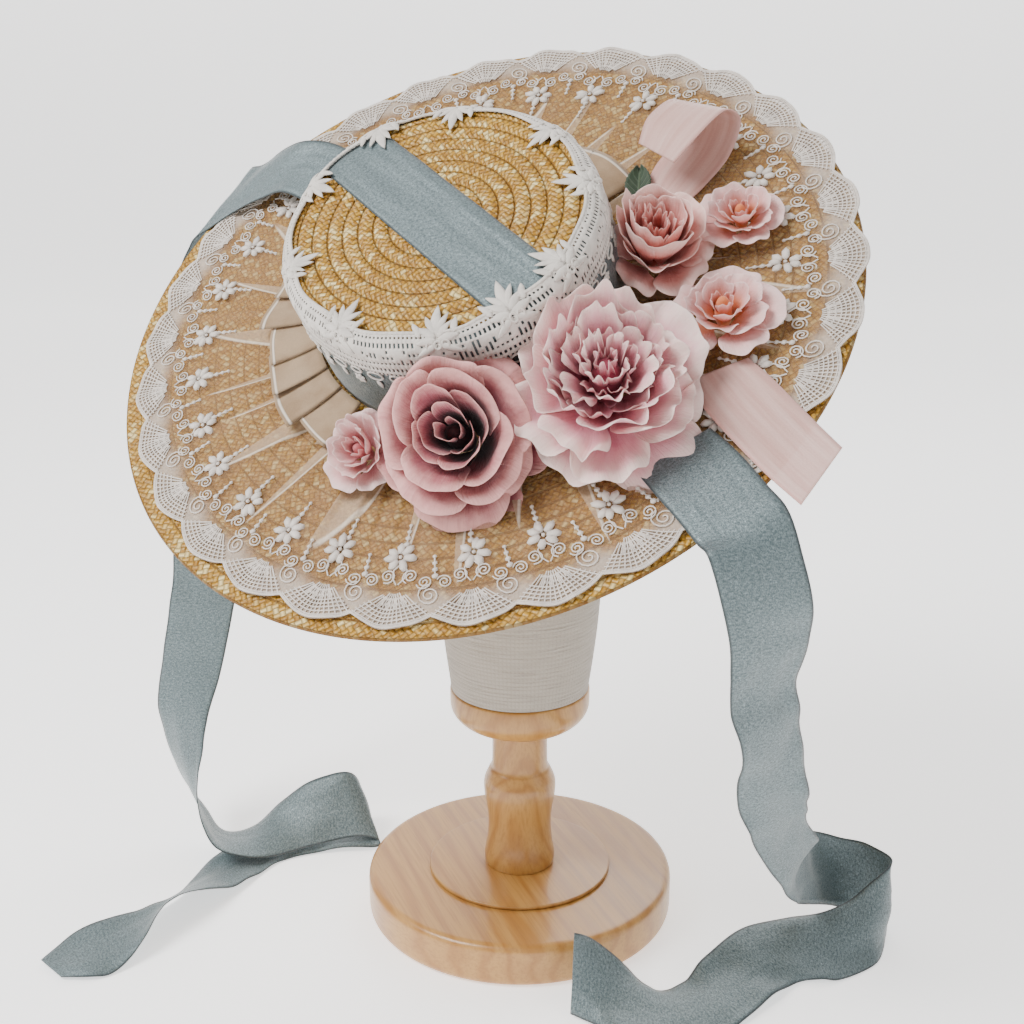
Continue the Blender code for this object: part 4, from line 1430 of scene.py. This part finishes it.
PEONY = (
    (6, 1.20, 0.30, 0.24, 0.06, 74, 0.20, 0.10, 0, 0.00),
    (6, 1.10, 0.55, 0.24, 0.10, 72, 0.22, 0.11, 28, 0.00),
    (6, 0.94, 0.78, 0.22, 0.14, 70, 0.16, 0.12, 8, 0.05),
    (6, 0.74, 0.90, 0.20, 0.18, 66, 0.06, 0.14, 34, 0.45),
    (6, 0.60, 0.86, 0.18, 0.22, 66, -0.04, 0.10, 5, 0.60),
    (6, 0.50, 1.00, 0.16, 0.26, 64, 0.20, 0.11, 40, 0.20),
    (5, 0.34, 0.92, 0.12, 0.30, 76, 0.10, 0.12, 12, 0.60),
    (4, 0.24, 1.02, 0.10, 0.30, 90, 0.16, 0.12, 50, 0.30),
    (3, 0.10, 1.00, 0.05, 0.30, 110, 0.02, 0.14, 20, 0.90),
)

CABBAGE_ROSE = (
    (6, 1.16, 0.46, 0.26, 0.10, 74, 0.26, 0.07, 0, 0.00),
    (5, 1.00, 0.80, 0.26, 0.14, 90, 0.14, 0.06, 32, 0.00),
    (5, 0.82, 1.02, 0.26, 0.16, 96, -0.02, 0.05, 12, 0.10),
    (5, 0.60, 0.98, 0.24, 0.22, 90, -0.08, 0.05, 40, 0.70),
    (5, 0.42, 0.88, 0.18, 0.26, 84, -0.04, 0.10, 15, 0.95),
    (4, 0.24, 0.94, 0.10, 0.30, 96, 0.04, 0.12, 55, 1.00),
)

BLOSSOM = (
    (5, 1.20, 0.56, 0.24, 0.10, 84, 0.24, 0.10, 0, 0.00),
    (5, 0.92, 0.86, 0.22, 0.16, 86, 0.10, 0.10, 36, 0.05),
    (4, 0.56, 1.00, 0.18, 0.22, 100, 0.02, 0.10, 10, 0.35),
    (3, 0.26, 0.92, 0.10, 0.26, 120, 0.0, 0.08, 40, 0.95),
)

FLOWERS = {
    # name: whorls, heart's x, y and height in mm, radius and how far it is settled in mm,
    # tip outwards in degrees, squeeze, rise, finish, seed
    "flower_rose": (ROSE, 3.8, -118.5, 46.5, 34.0, 0.6, 28, 0.10, 0.85, "rose_silk", 1),
    "flower_peony": (PEONY, 79.5, -98.5, 53.0, 42.0, 0.4, 18, 0.14, 0.45, "peony_silk", 2),
    "flower_cabbage_rose": (CABBAGE_ROSE, 105.0, -4.0, 41.0, 26.0, 0.2, 14, 0.20, 0.30, "peach_silk", 3),
    "flower_bud": (BLOSSOM, -52.0, -101.0, 27.0, 18.0, 0.8, 22, 0.05, 0.40, "pale_silk", 4),
    "flower_blossom_low": (BLOSSOM, 131.0, -50.0, 24.0, 22.0, 0.0, 8, 0.0, 0.2, "blush_silk", 5),
    "flower_blossom_high": (BLOSSOM, 144.0, 14.0, 20.0, 18.0, 0.2, 4, 0.0, 0.2, "blush_silk", 6),
}

SILKS = {
    # finish: heart, middle and rim colours
    "rose_silk": ((0.028, 0.001, 0.004), (0.32, 0.050, 0.075), (0.78, 0.39, 0.36)),
    "peony_silk": ((0.56, 0.130, 0.200), (0.82, 0.38, 0.44), (0.94, 0.72, 0.66)),
    "peach_silk": ((0.42, 0.055, 0.038), (0.78, 0.33, 0.29), (0.92, 0.63, 0.57)),
    "pale_silk": ((0.56, 0.16, 0.17), (0.80, 0.43, 0.42), (0.90, 0.64, 0.61)),
    "blush_silk": ((0.70, 0.20, 0.07), (0.82, 0.42, 0.39), (0.91, 0.63, 0.60)),
}


def lace_top(radius):
    """The height of the brim lace's gathers at this radius, as under the solid flowers."""
    share = (radius - CROWN_LONG) / (LACE_RADIUS - CROWN_LONG)
    return STRAW / 2 + GAP + CAD_CLOTH + GATHER_HEIGHT * (1.0 - 0.75 * share)


def add_petal(bm, layers, row, centre, radius, depth, squeeze, rise, inward, draw):
    """One cupped petal, its rim rounded, ruffled and curled over."""
    _, rim, rim_height, foot, foot_height, span, curl, ruffle, _, deep = row
    pattern, inside = layers
    half = math.radians(span) / 2 * draw.uniform(0.86, 1.16)
    longer = draw.uniform(0.88, 1.10)
    taller = draw.uniform(0.92, 1.08)
    phase = draw.uniform(0.0, math.tau)
    waves = draw.choice((2.0, 2.5, 3.0))
    lean = draw.uniform(-0.05, 0.05)
    verts = bmesh.ops.create_grid(bm, x_segments=10, y_segments=9, size=0.5)["verts"]
    faces = list(dict.fromkeys(face for vert in verts for face in vert.link_faces))
    for face in faces:
        for loop in face.loops:
            loop[pattern].uv = (loop.vert.co.x + 0.5, loop.vert.co.y + 0.5)
    for vert in verts:
        side, out = 2.0 * vert.co.x, vert.co.y + 0.5
        # the rim is rounded: its corners don't reach as far as its middle
        reach = out * (1.0 - 0.16 * side**2 - 0.10 * side**6)
        spread = smoothstep(0.12 + 1.25 * out) * (1.0 - 0.12 * smoothstep((out - 0.75) / 0.25))
        angle = centre + half * side * (0.25 + 0.75 * spread) + lean * out
        swell = math.sin(0.5 * math.pi * reach)
        flat = blend(foot, rim * longer, blend(swell, reach**1.35, 0.5))
        height = blend(foot_height, rim_height * taller, reach ** 0.85)
        # the rim curls over
        bend = smoothstep((reach - 0.62) / 0.38)
        height -= curl * 0.42 * bend**2
        flat += abs(curl) * 0.20 * bend * (1.0 if curl > 0 else -0.6)
        # and is ruffled
        wave = math.sin(phase + waves * math.pi * side) * smoothstep((out - 0.35) / 0.65)
        height += ruffle * wave * 0.8
        flat += ruffle * 0.5 * math.cos(phase + waves * 1.3 * math.pi * side) * out**3
        # the petal is cupped, and squeezed and raised on the crown's side
        flat += 0.05 * (1.0 - side**2) * math.sin(math.pi * clamp(reach)) * (0.5 + rim)
        crownwards = max(0.0, math.cos(angle - inward)) * clamp(flat)
        flat *= 1.0 - squeeze * crownwards
        height *= 1.0 + rise * crownwards
        # painted shade for a petal that lies inside the flower
        vert[inside] = deep
        vert.co = polar(radius * flat, angle, depth * max(height, 0.02))
    bmesh.ops.reverse_faces(bm, faces=faces)


def build_flower(name, whorls, heart, radius, settled, tip, squeeze, rise, finish, seed):
    """Whorls of petals round a heart, tipped outwards, with the foot settled on the lace."""
    tip = math.radians(tip)
    foot_radius = FLOWER_FOOT * radius
    reach = math.hypot(heart.x, heart.y) - heart.z * math.tan(tip) - foot_radius
    foot_height = lace_top(reach) + GAP + foot_radius * math.sin(tip) - settled
    depth = (heart.z - foot_height) / math.cos(tip)
    inward = math.atan2(-heart.y, -heart.x)
    outward = Vector((heart.x, heart.y, 0.0)).normalized()
    turn = Matrix.Rotation(tip, 4, Vector((0, 0, 1)).cross(outward))
    foot = heart - turn @ Vector((0, 0, depth))
    draw = random.Random(seed)
    bm = bmesh.new()
    layers = (bm.loops.layers.uv.new("pattern"), bm.verts.layers.float.new("deep"))
    for row in whorls:
        petals, turned_by = row[0], row[8]
        for petal in range(petals):
            centre = math.radians(turned_by + draw.uniform(-6, 6)) + petal * math.tau / petals
            add_petal(bm, layers, row, centre, radius, depth, squeeze, rise, inward, draw)
    for vert in bm.verts:
        out = clamp(vert.co.xy.length / radius)
        crumple = noise.noise_vector(vert.co * CRUMPLES + Vector((seed, seed, 0.0)))
        vert.co += crumple * (CRUMPLE_DEPTH * radius * out)
        vert.co.z = max(vert.co.z, 0.0)
    raised = Matrix.Translation((0.0, 0.0, 0.38 * depth))
    narrow = Matrix.Diagonal((0.20, 0.20, 0.50, 1.0))
    made = bmesh.ops.create_uvsphere(
        bm, u_segments=12, v_segments=8, radius=radius, matrix=raised @ narrow
    )
    # the flower's core gets painted shade too
    for vert in made["verts"]:
        vert[layers[1]] = 0.6
    matrix = HAT @ Matrix.Translation(foot) @ turn
    slot = "rose_petal" if name == "flower_rose" else "pale_petal"
    obj = piece(name + "_look", bm, FINISHES[finish], slot, name, matrix=matrix)
    wall(obj, PETAL_WALL)
    smooth(obj)


def build_flowers():
    # without a seed of its own, noise_vector changes from run to run
    noise.seed_set(CRUMPLE_SEED)
    for name, colours in SILKS.items():
        petal_finish(name, *colours)
    for name, (whorls, x, y, height, radius, settled, *shape) in FLOWERS.items():
        heart = Vector((x, y, height)) / 1000.0
        build_flower(name, whorls, heart, radius / 1000.0, settled / 1000.0, *shape)


def build_leaf():
    length, width = 0.026, 0.014
    start = Vector((0.091, 0.045, 0.0052))
    ahead, beside = direction(84, 3), direction(-6, 0)

    def place(u, v):
        half = width * math.sin(math.pi * (0.03 + 0.94 * v)) ** 0.8
        teeth = 1.0 + 0.05 * math.sin(60.0 * v) * abs(2.0 * u - 1.0)
        sideways = half * teeth * (u - 0.5)
        keel = 0.003 * abs(2.0 * u - 1.0)
        return start + ahead * (length * v) + beside * sideways + Vector((0, 0, keel))

    leaf = piece("leaf_look", surface(10, 24, place), leaf_finish(), "leaf", "leaf", matrix=HAT)
    wall(leaf, RIBBON_WALL)


# Stage


def build_floor():
    """The floor, which bends up behind the stand into a backdrop."""
    bend, depth = FLOOR_BEND, FLOOR_DEPTH

    def place(u, v):
        run = v * (2.0 * depth + bend * math.pi / 2) - depth
        across = (u - 0.5) * FLOOR_WIDTH
        if run < depth:
            return Vector((across, run, 0.0))
        turn = min((run - depth) / bend, math.pi / 2)
        return Vector((across, depth + bend * math.sin(turn), bend * (1.0 - math.cos(turn))))

    swept = surface(2, 60, place)
    lip = [edge for edge in swept.edges if min(vert.co.z for vert in edge.verts) > bend - 0.001]
    wall_up = bmesh.ops.extrude_edge_only(swept, edges=lip)["geom"]
    risen = [part for part in wall_up if isinstance(part, bmesh.types.BMVert)]
    bmesh.ops.translate(swept, verts=risen, vec=(0.0, 0.0, BACKDROP_RISE))
    mesh = bpy.data.meshes.new("floor")
    swept.to_mesh(mesh)
    swept.free()
    mesh.shade_smooth()
    finish = Finish("floor", Roughness=0.9)
    finish.set("Base Color", (0.97, 0.965, 0.96))
    finish.set("Emission Color", (1.0, 0.99, 0.985))
    finish.set("Emission Strength", FLOOR_GLOW)
    mesh.materials.append(finish.material)
    floor = bpy.data.objects.new("floor", mesh)
    floor.location.z = -FLOOR_GAP
    bpy.context.scene.collection.objects.link(floor)


def build_lights():
    world = bpy.data.worlds.new("studio")
    bpy.context.scene.world = world
    world.use_nodes = True
    background = world.node_tree.nodes["Background"]
    background.inputs["Color"].default_value = (1.0, 0.99, 0.98, 1.0)
    background.inputs["Strength"].default_value = WORLD_STRENGTH
    for name, place, aim, size, watts in LIGHTS:
        light = bpy.data.lights.new(name, "AREA")
        light.size = size
        light.energy = watts
        lamp = bpy.data.objects.new(name, light)
        lamp.location = place
        heading = Vector(aim) - Vector(place)
        lamp.rotation_euler = heading.to_track_quat("-Z", "Y").to_euler()
        bpy.context.scene.collection.objects.link(lamp)


def build_camera():
    data = bpy.data.cameras.new("camera")
    data.lens = LENS
    data.sensor_width = 36.0
    camera = bpy.data.objects.new("camera", data)
    camera.location = EYE
    camera.rotation_euler = (math.pi / 2 - LOOK_DOWN, 0.0, LOOK_LEFT)
    bpy.context.scene.collection.objects.link(camera)
    bpy.context.scene.camera = camera


build_camera()
build_stand()
build_crown()
build_brim()
tulle = build_tulle()
build_embroidery()
build_ribbons()
build_crown_band()
build_crown_ribbon()
build_crown_lace()
build_pleats()
build_flowers()
build_leaf()
build_floor()
build_lights()
